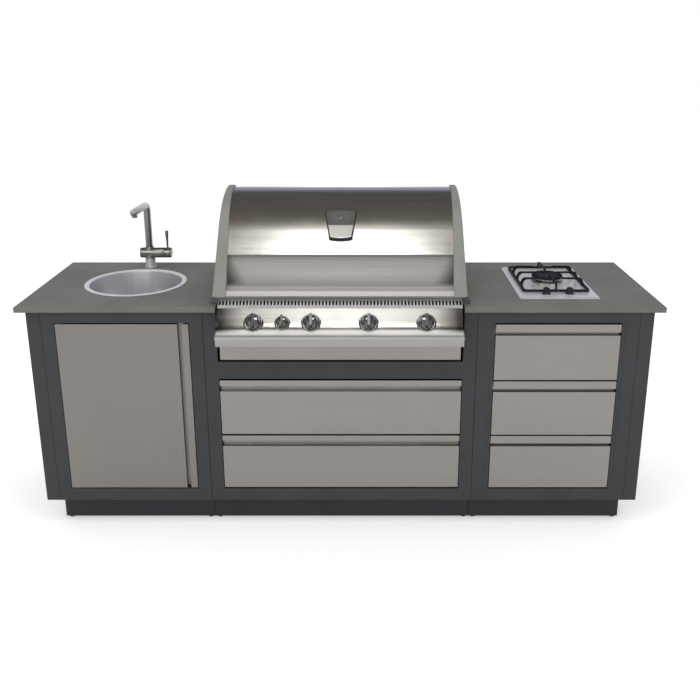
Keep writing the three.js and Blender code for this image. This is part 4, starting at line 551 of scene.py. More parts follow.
# A round bar along a line of points, with one radius or one for each point
def addBar(bm, points, radii, sides):
    points = [Vector(p) for p in points]
    if isinstance(radii, (int, float)):
        radii = [radii] * len(points)
    last = len(points) - 1
    ways = [(points[min(i + 1, last)] - points[max(i - 1, 0)]).normalized() for i in range(last + 1)]
    up = ways[0].orthogonal().normalized()
    rings = []
    for i, (point, way, radius) in enumerate(zip(points, ways, radii)):
        if i:
            up = ways[i - 1].rotation_difference(way) @ up
        side = way.cross(up).normalized()
        turns = [2 * math.pi * k / sides for k in range(sides)]
        rings.append([bm.verts.new(point + radius * (math.cos(t) * up + math.sin(t) * side)) for t in turns])
    for a, b in zip(rings, rings[1:]):
        for k in range(sides):
            n = (k + 1) % sides
            bm.faces.new((a[k], a[n], b[n], b[k]))
    bm.faces.new(rings[0])
    bm.faces.new(list(reversed(rings[-1])))


def arcPoints(centre, radius, start, end, steps):
    angles = [start + (end - start) * k / steps for k in range(steps + 1)]
    return [(centre[0] + radius * math.cos(a), centre[1] + radius * math.sin(a)) for a in angles]


def bezierPoints(a, b, c, d, steps):
    out = []
    for k in range(steps + 1):
        t = k / steps
        s = 1 - t
        weights = (s * s * s, 3 * s * s * t, 3 * s * t * t, t * t * t)
        out.append(tuple(sum(w * p[n] for w, p in zip(weights, (a, b, c, d))) for n in (0, 1)))
    return out


# The path moved sideways to its left, with mitred corners
def besidePath(path, distance):
    ways = []
    for (ax, ay), (bx, by) in zip(path, path[1:]):
        length = math.hypot(bx - ax, by - ay)
        ways.append(((bx - ax) / length, (by - ay) / length))
    out = []
    for i, (x, y) in enumerate(path):
        before, after = ways[max(i - 1, 0)], ways[min(i, len(ways) - 1)]
        grow = distance / (1 + before[0] * after[0] + before[1] * after[1])
        out.append((x - (before[1] + after[1]) * grow, y + (before[0] + after[0]) * grow))
    return out


def sheetOutline(path, thickness):
    return path + list(reversed(besidePath(path, thickness)))


def roundedOutline(corners, radius, steps=6):
    out = []
    count = len(corners)
    for i, point in enumerate(corners):
        here, before, after = Vector(point), Vector(corners[i - 1]), Vector(corners[(i + 1) % count])
        a = here + (before - here).normalized() * radius
        b = here + (after - here).normalized() * radius
        out += bezierPoints(a, a.lerp(here, 0.6), b.lerp(here, 0.6), b, steps)
    return out


# Points closer than this are merged: in millimetres for the first two, in metres for the others.
weld = {"placed": 1e-4, "local": 1e-7, "node": 2e-6, "strip": 1e-5}
# Edges sharper than this many degrees stay sharp when a piece is shaded round.
crease = {"cut": 30, "usual": 35, "turned": 40, "thin": 50}


def linked(name, bm):
    mesh = bpy.data.meshes.new(name)
    bm.to_mesh(mesh)
    bm.free()
    piece = bpy.data.objects.new(name, mesh)
    scene.collection.objects.link(piece)
    return piece


# One piece from strokes, each a shape function with its values. A local piece is drawn round its own origin,
# still in millimetres, and moved to its place later.
def draw(name, *strokes, local=False):
    bm = bmesh.new()
    for stroke, *values in strokes:
        stroke(bm, *values)
    bmesh.ops.remove_doubles(bm, verts=bm.verts, dist=weld["local" if local else "placed"])
    bmesh.ops.recalc_face_normals(bm, faces=bm.faces)
    if not local:
        bm.transform(toFrame)
    return linked(name, bm)


def moved(piece, matrix):
    piece.data.transform(matrix)
    return piece


# Modifiers are turned into plain mesh before any piece is given to a body.
def bakeModifiers(piece):
    bpy.context.view_layer.update()
    shape = bpy.data.meshes.new_from_object(piece.evaluated_get(bpy.context.evaluated_depsgraph_get()))
    piece.modifiers.clear()
    old, piece.data = piece.data, shape
    bpy.data.meshes.remove(old)
    return piece


def carve(piece, *tools):
    for tool in tools:
        cut = piece.modifiers.new("carve", "BOOLEAN")
        cut.operation = "DIFFERENCE"
        cut.solver = "EXACT"
        cut.object = tool
    bakeModifiers(piece)
    for tool in tools:
        bpy.data.objects.remove(tool)
    return piece


def roundEdges(piece, width, segments=2, limit=32):
    if width:
        bevel = piece.modifiers.new("roundedEdges", "BEVEL")
        bevel.width = width / metre
        bevel.segments = segments
        bevel.limit_method = "ANGLE"
        bevel.angle_limit = math.radians(limit)
        bevel.use_clamp_overlap = True
        bevel.harden_normals = False
    for face in piece.data.polygons:
        face.use_smooth = True
    weighted = piece.modifiers.new("evenNormals", "WEIGHTED_NORMAL")
    weighted.keep_sharp = True
    return bakeModifiers(piece)


def roundLocal(piece, width, segments, limit):
    roundEdges(moved(piece, Matrix.Scale(1 / metre, 4)), width, segments, limit)
    return moved(piece, Matrix.Scale(metre, 4))


def shadeRound(piece, kind="usual"):
    piece.data.shade_smooth()
    piece.data.set_sharp_from_angle(angle=math.radians(crease[kind]))
    return piece


def settle(piece, finish, body, *replaced):
    piece.data.materials.clear()
    piece.data.materials.append(finishes[finish])
    for face in piece.data.polygons:
        face.material_index = 0
    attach(piece, body)
    if replaced:
        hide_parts(*replaced)
    return piece


flatAngle = math.radians(0.6)  # up to this, neighbouring faces of a CAD node become one


# A copy of a CAD node with rounded edges stands for it.
def softened(node, finish, width):
    bm = bmesh.new()
    bm.from_mesh(nodes[node].data)
    bmesh.ops.remove_doubles(bm, verts=bm.verts, dist=weld["node"])
    bmesh.ops.dissolve_limit(bm, angle_limit=flatAngle, verts=bm.verts, edges=bm.edges, delimit=set())
    settle(roundEdges(linked(node + "_soft", bm), width), finish, bodyOf[node], node)


def dressNode(node, finish):
    data = nodes[node].data
    data.materials.clear()
    data.materials.append(finishes[finish])


# Geometry Nodes: the piece's own mesh repeated along a line, or round the Z axis
def repeatTree(name, stepKind):
    tree = bpy.data.node_groups.new(name, "GeometryNodeTree")
    tree.is_modifier = True
    sockets = {"Geometry": "Geometry", "Count": "Int", "Step": stepKind, "Finish": "Material"}
    for label, kind in sockets.items():
        tree.interface.new_socket(name=label, in_out="INPUT", socket_type="NodeSocket" + kind)
    tree.interface.new_socket(name="Geometry", in_out="OUTPUT", socket_type="NodeSocketGeometry")
    ins, outs, line, copies, real, paint = (tree.nodes.new(kind) for kind in (
        "NodeGroupInput", "NodeGroupOutput", "GeometryNodeMeshLine", "GeometryNodeInstanceOnPoints",
        "GeometryNodeRealizeInstances", "GeometryNodeSetMaterial"))
    line.mode = "OFFSET"
    link = tree.links.new
    link(ins.outputs["Count"], line.inputs["Count"])
    link(line.outputs["Mesh"], copies.inputs["Points"])
    link(ins.outputs["Geometry"], copies.inputs["Instance"])
    link(copies.outputs["Instances"], real.inputs["Geometry"])
    link(real.outputs["Geometry"], paint.inputs["Geometry"])
    link(ins.outputs["Finish"], paint.inputs["Material"])
    link(paint.outputs["Geometry"], outs.inputs["Geometry"])
    return tree, ins, line, copies, real, paint


def lineTree():
    tree, ins, line, _, real, paint = repeatTree("repeatInLine", "Vector")
    merge = tree.nodes.new("GeometryNodeMergeByDistance")
    merge.inputs["Distance"].default_value = 0.00001
    tree.links.new(ins.outputs["Step"], line.inputs["Offset"])
    tree.links.new(real.outputs["Geometry"], merge.inputs["Geometry"])
    tree.links.new(merge.outputs["Geometry"], paint.inputs["Geometry"])
    return tree


def ringTree():
    tree, ins, line, copies, _, _ = repeatTree("repeatRound", "Float")
    line.inputs["Offset"].default_value = (0, 0, 0)
    number = tree.nodes.new("GeometryNodeInputIndex")
    way = tree.nodes.new("ShaderNodeCombineXYZ")
    tree.links.new(combine(tree, "MULTIPLY", number.outputs[0], ins.outputs["Step"]), way.inputs["Z"])
    tree.links.new(way.outputs[0], copies.inputs["Rotation"])
    return tree


trees = {"line": lineTree(), "ring": ringTree()}


def repeat(piece, kind, count, step, finish):
    tree = trees[kind]
    modifier = piece.modifiers.new("repeat", "NODES")
    modifier.node_group = tree
    values = {"Count": count, "Step": step, "Finish": finishes[finish]}
    for item in tree.interface.items_tree:
        if item.in_out == "INPUT" and item.name in values:
            modifier[item.identifier] = values[item.name]
    return bakeModifiers(piece)


def joinMeshes(target, *others):
    bm = bmesh.new()
    for item in (target, *others):
        bm.from_mesh(item.data)
    bm.to_mesh(target.data)
    bm.free()
    for item in others:
        bpy.data.objects.remove(item)
    return target


print("stage: helpers")


# cabinets: folded sheet and boards keep their CAD shape, with rounded edges
cabinetFinish = {
    "board": {"nodes": ["sink_worktop", "hob_worktop", "rear_worktop"], "finish": "worktopBoard",
              "edge": 0.9},
    "frames": {"nodes": ["left_end_panel", "right_end_panel", "sink_cabinet_frame", "grill_cabinet_frame",
                         "drawer_cabinet_frame"], "finish": "anthraciteCoat", "edge": 0.8},
    "plinths": {"nodes": ["sink_cabinet_plinth", "grill_cabinet_plinth", "drawer_cabinet_plinth"],
                "finish": "plinthCoat", "edge": 0.6},
    "door": {"nodes": ["sink_door"], "finish": "doorSteel", "edge": 0.7},
    "fronts": {"nodes": ["wide_drawer_upper_front", "wide_drawer_lower_front", "upper_drawer_front",
                         "middle_drawer_front", "lower_drawer_front"], "finish": "drawerSteel", "edge": 0.7},
    "tray": {"nodes": ["grease_tray"], "finish": "drawerSteel", "edge": 0.6},
    "hob": {"nodes": ["hob_tray"], "finish": "hobSteel", "edge": 0.7},
    "panSupport": {"nodes": ["hob_pan_support"], "finish": "blackEnamel", "edge": 1.3},
}
plainNodes = {
    "zincSheet": ["sink_cabinet_shell", "grill_cabinet_shell", "drawer_cabinet_shell",
                  "wide_drawer_upper_box", "wide_drawer_lower_box", "upper_drawer_box", "middle_drawer_box",
                  "lower_drawer_box"],
    "fireboxSteel": ["firebox"],
    "heatedSteel": ["flame_tamer", "burner_tube_1", "burner_tube_2", "burner_tube_3", "burner_tube_4"],
    "valveBrass": ["burner_manifold"],
    "blackEnamel": ["rear_burner"],
}


def buildCabinets():
    for group in cabinetFinish.values():
        for node in group["nodes"]:
            softened(node, group["finish"], group["edge"])
    for finish, members in plainNodes.items():
        for node in members:
            dressNode(node, finish)


buildCabinets()
print("stage: cabinets")


# lid: a folded skin between two cast end caps
lid = {
    "back": 600, "top": 1264.7, "bottom": 940, "radius": 393, "fromBack": 117, "rearRadius": 60, "rake": 46,
    "rim": 8, "gap": 0.3, "skin": 2.5, "half": 461, "capPlate": 6, "rimFront": 48, "rimStep": 6,
    "taper": 0.052, "gripStart": 28, "gripEnd": 173, "gripDepth": 40, "lip": 20, "hem": 14, "skinBack": 1000,
    "hinge": (565, 965), "boss": 14, "pin": 6.3, "bossFrom": 438.6, "bossSteps": 40,
    "skinEdge": (0.8, 2, 24), "capEdge": (1.1, 3, 30),  # width, segments, least angle in degrees
}
# The shapes that hollow a cap reach past it: inwards, and in front, behind, below and above.
capTools = {"run": 12, "hollow": 120, "wedge": 60, "front": 30, "rear": 40, "under": 30, "over": 60}


def lidCurves():
    centre = (lid["back"] - lid["fromBack"], lid["top"] - lid["radius"])
    turn = math.acos((lid["fromBack"] - lid["rearRadius"]) / (lid["radius"] - lid["rearRadius"]))
    reach = lid["radius"] - lid["rearRadius"]
    return centre, turn, (centre[0] + reach * math.cos(turn), centre[1] + reach * math.sin(turn))


def onRake(along, depth):
    centre, _, _ = lidCurves()
    rake = math.radians(lid["rake"])
    radius = lid["radius"] - lid["rim"] - lid["gap"]
    start = arcPoints(centre, radius, math.pi / 2 + rake, 0, 1)[0]
    up = along - (start[1] - lid["bottom"]) / math.sin(rake)
    return (start[0] + up * math.cos(rake) + depth * math.sin(rake),
            start[1] + up * math.sin(rake) - depth * math.cos(rake))


def overTop(depth, steps=56, rearSteps=16):
    centre, turn, rear = lidCurves()
    start = math.pi / 2 + math.radians(lid["rake"])
    front = arcPoints(centre, lid["radius"] - depth, start, turn, steps)
    return front + arcPoints(rear, lid["rearRadius"] - depth, turn, 0, rearSteps)[1:]


# From the lip through the grip channel and over the top to the rear
def lidPath(first, foot):
    rim, lip, grip, start, end = (lid["rim"] + lid["gap"], lid["lip"], lid["gripDepth"], lid["gripStart"],
                                  lid["gripEnd"])
    channel = bezierPoints((start, lip / 4), (start + lip, grip), (end - lip, grip * 1.1),
                           (end - 2, grip / 3), 30)
    return (first + [onRake(lip, 0)] + [onRake(along, depth) for along, depth in channel] + [onRake(end, 0)]
            + overTop(rim) + [(lid["back"] - rim, foot)])


def buildLidSkin():
    path = lidPath([onRake(0, lid["hem"]), onRake(0, 0)], lid["skinBack"])
    half = lid["half"] - lid["capPlate"] - lid["gap"]
    sheet = sheetOutline(list(reversed(path)), lid["skin"])
    piece = draw("lidSkinFolded", (addPrism, sheet, "x", -half, half))
    settle(roundEdges(piece, *lid["skinEdge"]), "hoodSteel", "lid", "lid_skin")


def buildLidCap(side, node):
    foot = onRake(0, -lid["rim"] - lid["gap"])
    foot = (foot[0] + (lid["bottom"] - foot[1]) / math.tan(math.radians(lid["rake"])), lid["bottom"])
    outer = [foot] + overTop(0) + [(lid["back"], lid["bottom"])]
    run = capTools["run"]
    inner = besidePath(lidPath([onRake(-run, 0)], lid["bottom"] - run), lid["gap"])
    half, taper = lid["half"], lid["taper"]
    start = half - lid["rimFront"]
    cap = draw(node + "_cast", (addPrism, outer, "x", side * half, side * (start - lid["rimStep"])))
    hollow = draw("capHollow", (addPrism, inner, "x", side * (half - capTools["hollow"]),
                                side * (half - lid["capPlate"])))
    front, rear, inside = -capTools["front"], lid["back"] + capTools["rear"], start - capTools["wedge"]
    corners = [(side * inside, front), (side * inside, rear), (side * (start + rear * taper), rear),
               (side * (start + front * taper), front)]
    wedge = draw("capWedge", (addPrism, corners, "z", lid["bottom"] - capTools["under"],
                              lid["top"] + capTools["over"]))
    roundEdges(carve(cap, hollow, wedge), *lid["capEdge"])
    turn = Matrix.Translation((0, *lid["hinge"])) @ Matrix.Rotation(math.pi / 2, 4, "Y")
    low, high = sorted((side * lid["bossFrom"], side * (half - 1)))
    pin, wide = lid["pin"], lid["boss"]
    boss = draw("boss", (addLathe, [(pin, low), (wide - 1, low), (wide, low + 1), (wide, high - 1),
                                    (wide - 1, high), (pin, high)], lid["bossSteps"], turn))
    settle(joinMeshes(cap, shadeRound(boss)), "castCaps", "lid", node)


buildLidSkin()
buildLidCap(-1, "lid_cap_left")
buildLidCap(1, "lid_cap_right")
print("stage: lid")


# thermometer: a shield-shaped case on the lid, with a dial window, ticks and a pointer
gauge = {
    "lean": 42, "width": 121, "foot": 88, "footBow": 6, "height": 140, "topBow": 3, "topShare": 0.9,
    "shoulder": 12, "thick": 9, "under": 6, "sink": 3, "edge": 4, "window": (-6, 62), "windowHalf": (43, 51),
    "windowRound": 15, "dial": 29, "ticks": 13, "tickLength": 6, "tickHalf": 0.6, "tickStep": 20,
    "firstTick": 120, "pointer": 118, "stem": 5, "stemLength": 42, "satinUnder": 3, "satinFade": 2,
    "caseEdge": (1.2, 3, 40),
}


def gaugeMatrix():
    centre, _, _ = lidCurves()
    radius = lid["radius"] - lid["rim"] - lid["gap"]
    lean = math.radians(gauge["lean"])
    place = Matrix.Translation((0, centre[0] - radius * math.sin(lean), centre[1] + radius * math.cos(lean)))
    return place @ Matrix.Rotation(lean, 4, "X")


def shieldCorners(grow):
    top, half, foot = gauge["height"] / 2 + grow, gauge["width"] / 2 + grow, gauge["foot"] / 2 + grow
    shoulder = top - gauge["shoulder"]
    lower = [(foot * (k / 6), -top + gauge["footBow"] * (k / 6) ** 2) for k in range(-6, 7)]
    upper = [(half * gauge["topShare"] * (k / 6), top - gauge["topBow"] * (k / 6) ** 2)
             for k in range(6, -7, -1)]
    return lower + [(half, shoulder)] + upper + [(-half, shoulder)]


def windowOutline(inset=0.0):
    (low, high), (narrow, wide) = gauge["window"], gauge["windowHalf"]
    narrow, wide, low, high = narrow - inset, wide - inset, low + inset, high - inset
    return roundedOutline([(-narrow, low), (narrow, low), (wide, high), (-wide, high)],
                          gauge["windowRound"] - inset, 8)


def buildThermometer():
    place = toFrame @ gaugeMatrix()
    thick, stem, stemEnd = gauge["thick"], gauge["stem"], -gauge["stemLength"]
    floorZ = thick - gauge["sink"]
    case = draw("gaugeCase", (addPrism, shieldCorners(-gauge["edge"]), "z", -gauge["under"] - 0.2, thick),
                local=True)
    carve(case, draw("windowHollow", (addPrism, windowOutline(), "z", floorZ, thick + 5), local=True))
    roundLocal(case, *gauge["caseEdge"])
    shaft = draw("stem", (addLathe, [(0, stemEnd), (stem - 1, stemEnd), (stem, stemEnd + 1), (stem, -4),
                                     (0, -4)], 24), local=True)
    moved(joinMeshes(case, shadeRound(shaft)), place)
    # From just below the window upwards the case is satin with a dark tone: a painted reflection of the dark
    # room above.
    satinFrom = (gaugeMatrix() @ Vector((0, gauge["window"][0] - gauge["satinUnder"], thick))).z / metre
    tree = finishes["gaugeSteel"].node_tree
    paintedDarkTop = stepOver(tree, "Z", satinFrom, satinFrom + gauge["satinFade"] / metre)
    addSatinWithPaintedTone("gaugeSteel", paintedDarkTop, **satinPaintedTones["gaugePaintedDarkTop"])
    settle(case, "gaugeSteel", "lid", "lid_thermometer")
    # A black rim round the case's sides is painted shade along its edge on the lid.
    edge = draw("gaugeShadeRim", (addPrism, shieldCorners(-0.2), "z", -gauge["under"], floorZ - 0.3), local=True)
    settle(moved(roundEdges(edge, 0), place), "darkPlastic", "lid")
    face = draw("dialFace", (addPrism, windowOutline(0.5), "z", floorZ + 0.1, floorZ + 0.6), local=True)
    settle(moved(roundEdges(face, 0), place), "dialFace", "lid")
    half = gauge["tickHalf"]
    tick = draw("dialTicks", (addBox, (-half, half), (gauge["dial"] - gauge["tickLength"], gauge["dial"]),
                              (0, 0.3)), local=True)
    repeat(tick, "ring", gauge["ticks"], -math.radians(gauge["tickStep"]), "dialPrint")
    dial = place @ Matrix.Translation((0, sum(gauge["window"]) / 2, floorZ + 0.6))
    settle(moved(tick, dial @ Matrix.Rotation(math.radians(gauge["firstTick"]), 4, "Z")), "dialPrint", "lid")
    pointer = draw("dialPointer", (addPrism, [(-1.2, -7), (1.2, -7), (0.35, 22), (-0.35, 22)], "z", 0.6, 1.1),
                   (addLathe, [(0, 0), (3.4, 0), (3.4, 1.4), (2.6, 1.8), (0, 1.8)], 28), local=True)
    turn = Matrix.Rotation(math.radians(gauge["pointer"]), 4, "Z")
    settle(moved(shadeRound(pointer), dial @ turn), "dialPrint", "lid")


buildThermometer()
print("stage: thermometer")


# control panel: slotted strip, hollow trough, rolled lip and a bezel round each knob
panel = {
    "half": 445, "topRise": 929, "topBack": 40, "topEnd": 84, "slotTop": 897, "reach": 80, "drop": 79,
    "sag": 18, "lipReach": 88, "roll": 12, "lipHeight": 36, "return": 60, "pitch": 12.5, "slots": 71,
    "slotWidth": 6, "slotLength": 21, "slotRound": 2.6, "tilt": 42, "bezel": 35, "bezelWidth": 8,
    "bezelHeight": 9, "bezelSteps": 72, "hem": (0.8, 0.64), "shadeRingWidth": (4, 1.6), "shadeRingHeight": (0.2, 1.2),
    "sheetEdge": (0.8, 2, 28), "slotEdge": (0.35, 2, 40),
}
# x, and size as a share of the large knobs
knobPlaces = {"grill_knob_1": (-312, 1), "grill_knob_2": (-104, 1), "grill_knob_3": (104, 1),
              "grill_knob_4": (312, 1), "rear_burner_knob": (-208, 0.78)}


def troughShape():
    chord = math.hypot(panel["reach"], panel["drop"])
    radius = chord * chord / 8 / panel["sag"] + panel["sag"] / 2
    away = radius - panel["sag"]
    end = (-panel["reach"], panel["slotTop"] - panel["drop"])
    centre = (end[0] / 2 - panel["drop"] / chord * away,
              (panel["slotTop"] + end[1]) / 2 + panel["reach"] / chord * away)
    return end, radius, centre


def knobMatrix(x):
    _, radius, centre = troughShape()
    tilt = math.radians(panel["tilt"])
    place = (x, centre[0] + radius * math.cos(tilt), centre[1] - radius * math.sin(tilt))
    return Matrix.Translation(place) @ Matrix.Rotation(math.pi / 2 - tilt, 4, "X")


def panelPath():
    end, radius, centre = troughShape()
    start = math.atan2(panel["slotTop"] - centre[1], -centre[0])
    stop = math.atan2(end[1] - centre[1], end[0] - centre[0])
    trough = arcPoints(centre, radius, start, stop, 40)
    roll = arcPoints((-panel["lipReach"] + panel["roll"], end[1] - panel["roll"]), panel["roll"],
                     math.pi / 2, math.pi, 10)
    low = end[1] - panel["lipHeight"]
    return trough, roll[1:] + [(-panel["lipReach"], low), (-panel["lipReach"] + panel["return"], low)]


# One tile with its slot, repeated along x, then the plain ends and the sheet's thickness
def buildSlottedStrip():
    slope = Vector((panel["topBack"], panel["topRise"] - panel["slotTop"]))
    length = slope.length
    way = slope / length
    first = -(panel["slots"] - 1) / 2 * panel["pitch"]

    def onSlope(x, along):
        return (x, way[0] * along, panel["slotTop"] + way[1] * along)

    tile, slot, long = panel["pitch"] / 2, panel["slotWidth"] / 2, panel["slotLength"] / 2
    bend, half = panel["slotRound"], panel["half"]
    corner = [(slot - bend + x, long - bend + y) for x, y in arcPoints((0, 0), bend, 0, math.pi / 2, 4)]
    right = [(0, -long)] + [(x, -y) for x, y in reversed(corner)] + corner + [(0, long)]
    outline = right + [(0, length / 2), (tile, length / 2), (tile, -length / 2), (0, -length / 2)]

    def addTile(bm):
        for side in (1, -1):
            bm.faces.new([bm.verts.new(onSlope(first + side * u, v + length / 2)) for u, v in outline])

    strip = draw("coolingSlots", (addTile,))
    repeat(strip, "line", panel["slots"], (panel["pitch"] / metre, 0, 0), "panelSteel")
    bm = bmesh.new()
    bm.from_mesh(strip.data)
    edge = panel["slots"] * panel["pitch"] / 2
    for side in (-1, 1):
        ends = [(side * edge, 0), (side * half, 0), (side * half, length), (side * edge, length)]
        bm.faces.new([bm.verts.new(toFrame @ Vector(onSlope(x, along))) for x, along in ends])
    bmesh.ops.remove_doubles(bm, verts=bm.verts, dist=weld["strip"])
    bmesh.ops.recalc_face_normals(bm, faces=bm.faces)
    if sum(f.normal.z for f in bm.faces) <= 0:
        bmesh.ops.reverse_faces(bm, faces=bm.faces)
    bm.to_mesh(strip.data)
    bm.free()
    thick = strip.modifiers.new("sheet", "SOLIDIFY")
    thick.thickness = island["sheet"] / metre
    thick.offset = -1
    return roundEdges(bakeModifiers(strip), *panel["slotEdge"])


def buildPanel():
    trough, lip = panelPath()
    half, sheet, back, rise = panel["half"], island["sheet"], panel["topBack"], panel["topRise"]
    hem = (back - panel["hem"][0], rise - panel["hem"][1])
    ends = [(back, rise)] + trough + lip + [(back, lip[-1][1])]
    front = sheetOutline(trough + lip, sheet)
    flange = sheetOutline([(panel["topEnd"], rise), (back, rise), hem], sheet)
    shell = draw("controlPanelFolded", (addPrism, front, "x", -half, half),
                 (addPrism, flange, "x", -half, half),
                 (addPrism, ends, "x", -half, -half + sheet), (addPrism, ends, "x", half - sheet, half))
    roundEdges(shell, *panel["sheetEdge"])
    tall = panel["bezelHeight"]
    # A thin black ring under each bezel is painted shade round the bezel's edge.
    (under, over), (low, high) = panel["shadeRingWidth"], panel["shadeRingHeight"]
    rings, shadeRings = [], []
    for x, share in knobPlaces.values():
        outer, inner = panel["bezel"] * share, (panel["bezel"] - panel["bezelWidth"]) * share
        ring = [(inner, -1), (outer, -1), (outer, tall - 2.4), (outer - 0.8, tall - 0.9), (outer - 2.4, tall),
                (inner + 1.6, tall), (inner + 0.5, tall - 0.5), (inner, tall - 1.6)]
        shadeRing = [(inner - under, low), (outer + over, low), (outer + over, high), (inner - under, high)]
        rings.append(draw("knobBezels", (addLathe, ring, panel["bezelSteps"], knobMatrix(x))))
        shadeRings.append(draw("bezelShadeRings", (addLathe, shadeRing, panel["bezelSteps"], knobMatrix(x))))
    for ring in rings + shadeRings:
        shadeRound(ring, "thin")
    settle(joinMeshes(shell, buildSlottedStrip()), "panelSteel", "cabinet", "control_panel")
    settle(joinMeshes(*rings), "knobSteel", "cabinet")
    settle(joinMeshes(*shadeRings), "darkPlastic", "cabinet")


# knobs: a skirt, a waisted body and a raised grip bar
knob = {"base": 4, "skirtHeight": 8, "skirtGap": 0.6, "height": 27, "body": 0.86, "crown": 0.8, "steps": 64,
        "gripWidth": 12, "gripRise": 9, "gripEdge": (1.6, 3, 50), "bore": 4.3, "boreDepth": 20.3,
        "markHalf": 0.7, "markStart": 0.25, "markEnd": 3}


def buildKnob(node, x, share):
    base, top, bore, deep = knob["base"], knob["base"] + knob["height"], knob["bore"], knob["boreDepth"]
    ledge, ridge = base + knob["skirtHeight"], top + knob["gripRise"]
    skirt = (panel["bezel"] - panel["bezelWidth"]) * share - knob["skirtGap"]
    body = skirt * knob["body"]
    crown = body * knob["crown"]
    place = toFrame @ knobMatrix(x)
    turned = draw(node + "_turned", (addLathe, [
        (bore, base), (skirt - 1.2, base), (skirt, base + 1.2), (skirt, ledge - 1.6),
        (skirt - 0.5, ledge - 0.5), (skirt - 1.6, ledge), (body + 0.8, ledge), (body, ledge + 0.8),
        (crown + 1.6, top - 3), (crown + 0.4, top - 1), (crown - 1.6, top), (0, top), (0, deep),
        (bore, deep)], knob["steps"]), local=True)
    half, long, line = knob["gripWidth"] / 2 * share, body + 1, knob["markHalf"]
    width, segments, angle = knob["gripEdge"]
    bar = roundedOutline([(-half, -long), (half, -long), (half, long), (-half, long)], half * 0.9)
    grip = draw("grip", (addPrism, bar, "z", ledge + 1, ridge), local=True)
    roundLocal(grip, width * share, segments, angle)
    mark = draw(node + "_mark", (addBox, (-line, line), (long * knob["markStart"], long - knob["markEnd"]),
                                 (ridge - 0.4, ridge + 0.12)), local=True)
    settle(moved(joinMeshes(shadeRound(turned, "turned"), grip), place), "knobSteel", bodyOf[node], node)
    settle(moved(mark, place), "darkPlastic", bodyOf[node])


buildPanel()
for knobName, (knobX, knobShare) in knobPlaces.items():
    buildKnob(knobName, knobX, knobShare)
print("stage: control panel and knobs")


# cooking grids and warming rack: round rods
grids = {"left": -426, "rods": 12, "rod": 4, "rodSides": 12, "rodRise": 10, "bar": 11.4, "barHeight": 8,
         "barEdge": 1.2, "level": 893, "width": 282, "gap": 3, "front": 81.6, "back": 573.4}


def buildGrid(index, node):
    left = grids["left"] + index * (grids["width"] + grids["gap"])
    step = (grids["width"] - 2 * grids["rod"]) / (grids["rods"] - 1)
    centre = grids["level"] + grids["rodRise"]
    ends = [(left + grids["rod"], y, centre) for y in (grids["front"], grids["back"])]
    rods = shadeRound(draw(node + "_rods", (addBar, ends, grids["rod"], grids["rodSides"])), "thin")
    repeat(rods, "line", grids["rods"], (step / metre, 0, 0), "rodEnamel")
    bars = draw("bars", *((addBox, (left, left + grids["width"]), (y, y + grids["bar"]),
                           (grids["level"], grids["level"] + grids["barHeight"]))
                          for y in (grids["front"], grids["back"] - grids["bar"])))
    settle(joinMeshes(rods, roundEdges(bars, grids["barEdge"])), "rodEnamel", "cabinet", node)


rack = {"half": 390, "side": 430.5, "y": (416.7, 536.7), "z": 1050, "foot": 931.2, "wire": 3, "wireSides": 14,
        "rods": 11, "rod": 2.2, "rodSides": 10, "firstRod": -378, "rodStep": 75.6, "shoulder": 5,
        "bend": 14, "bendStep": 4, "bendSteps": 4}


# From the foot up to the middle of the rail, with a bend at the corner
def railHalf(side, y):
    corner, low, steps = rack["half"] + rack["shoulder"], rack["z"] - rack["bend"], rack["bendSteps"]
    bend = [(side * (corner - rack["bendStep"] * k), y,
             low + rack["bend"] * math.sin(k * math.pi / 2 / steps)) for k in range(1, steps + 1)]
    return [(side * rack["side"], y, rack["foot"]), (side * corner, y, low)] + bend


def buildRack():
    rails = [(addBar, railHalf(-1, y) + list(reversed(railHalf(1, y))), rack["wire"], rack["wireSides"])
             for y in rack["y"]]
    wires = shadeRound(draw("rackRails", *rails), "thin")
    ends = [(rack["firstRod"], y, rack["z"]) for y in rack["y"]]
    rods = shadeRound(draw("rackRods", (addBar, ends, rack["rod"], rack["rodSides"])), "thin")
    repeat(rods, "line", rack["rods"], (rack["rodStep"] / metre, 0, 0), "rackSteel")
    settle(joinMeshes(wires, rods), "rackSteel", "cabinet", "warming_rack")


for gridIndex, gridName in enumerate(("cooking_grid_left", "cooking_grid_middle", "cooking_grid_right")):
    buildGrid(gridIndex, gridName)
buildRack()
print("stage: grids and rack")


# sink: one pressed bowl with its strainer
sink = {"y": 336, "rim": 199, "rimWidth": 20, "rise": 3.1, "depth": 172, "taper": 8, "fillet": 45,
        "drain": 40, "wall": 2, "steps": 120}
sinkPlace = toFrame @ Matrix.Translation((island["sinkX"], sink["y"], island["worktop"]))


def buildSink():
    mouth, rim, rise = sink["rim"] - sink["rimWidth"], sink["rim"], sink["rise"]
    foot, floor, fillet = mouth - sink["taper"], -sink["depth"], sink["fillet"]
    path = ([(sink["drain"], floor - 1.2), (sink["drain"] + 4, floor)]
            + arcPoints((foot - fillet, floor + fillet), fillet, -math.pi / 2, 0, 14)
            + bezierPoints((mouth, -4), (mouth + 0.3, -1), (mouth + 1, rise - 0.6),
                           (mouth + 3.2, rise - 0.1), 6)
            + [(rim - 4, rise), (rim - 1.4, rise - 0.4), (rim, rise - 1.2)])
    outline = sheetOutline(list(reversed(path)), sink["wall"])
    bowl = shadeRound(draw("sinkBowlPressed", (addLathe, outline, sink["steps"]), local=True), "thin")
    settle(moved(bowl, sinkPlace), "bowlSteel", "cabinet", "sink_bowl")


# waste: a flanged neck in the bowl with the strainer in it, the nut under it and the trap with its outlet
waste = {"seat": 0.3, "under": -2.3, "neck": 39.7, "flange": 45, "nut": 12, "pipe": 72, "trap": 96,
         "outlet": 34, "steps": 56, "strainer": 12, "holes": 8, "hole": 3.4, "holeRing": 18, "holeSteps": 16}


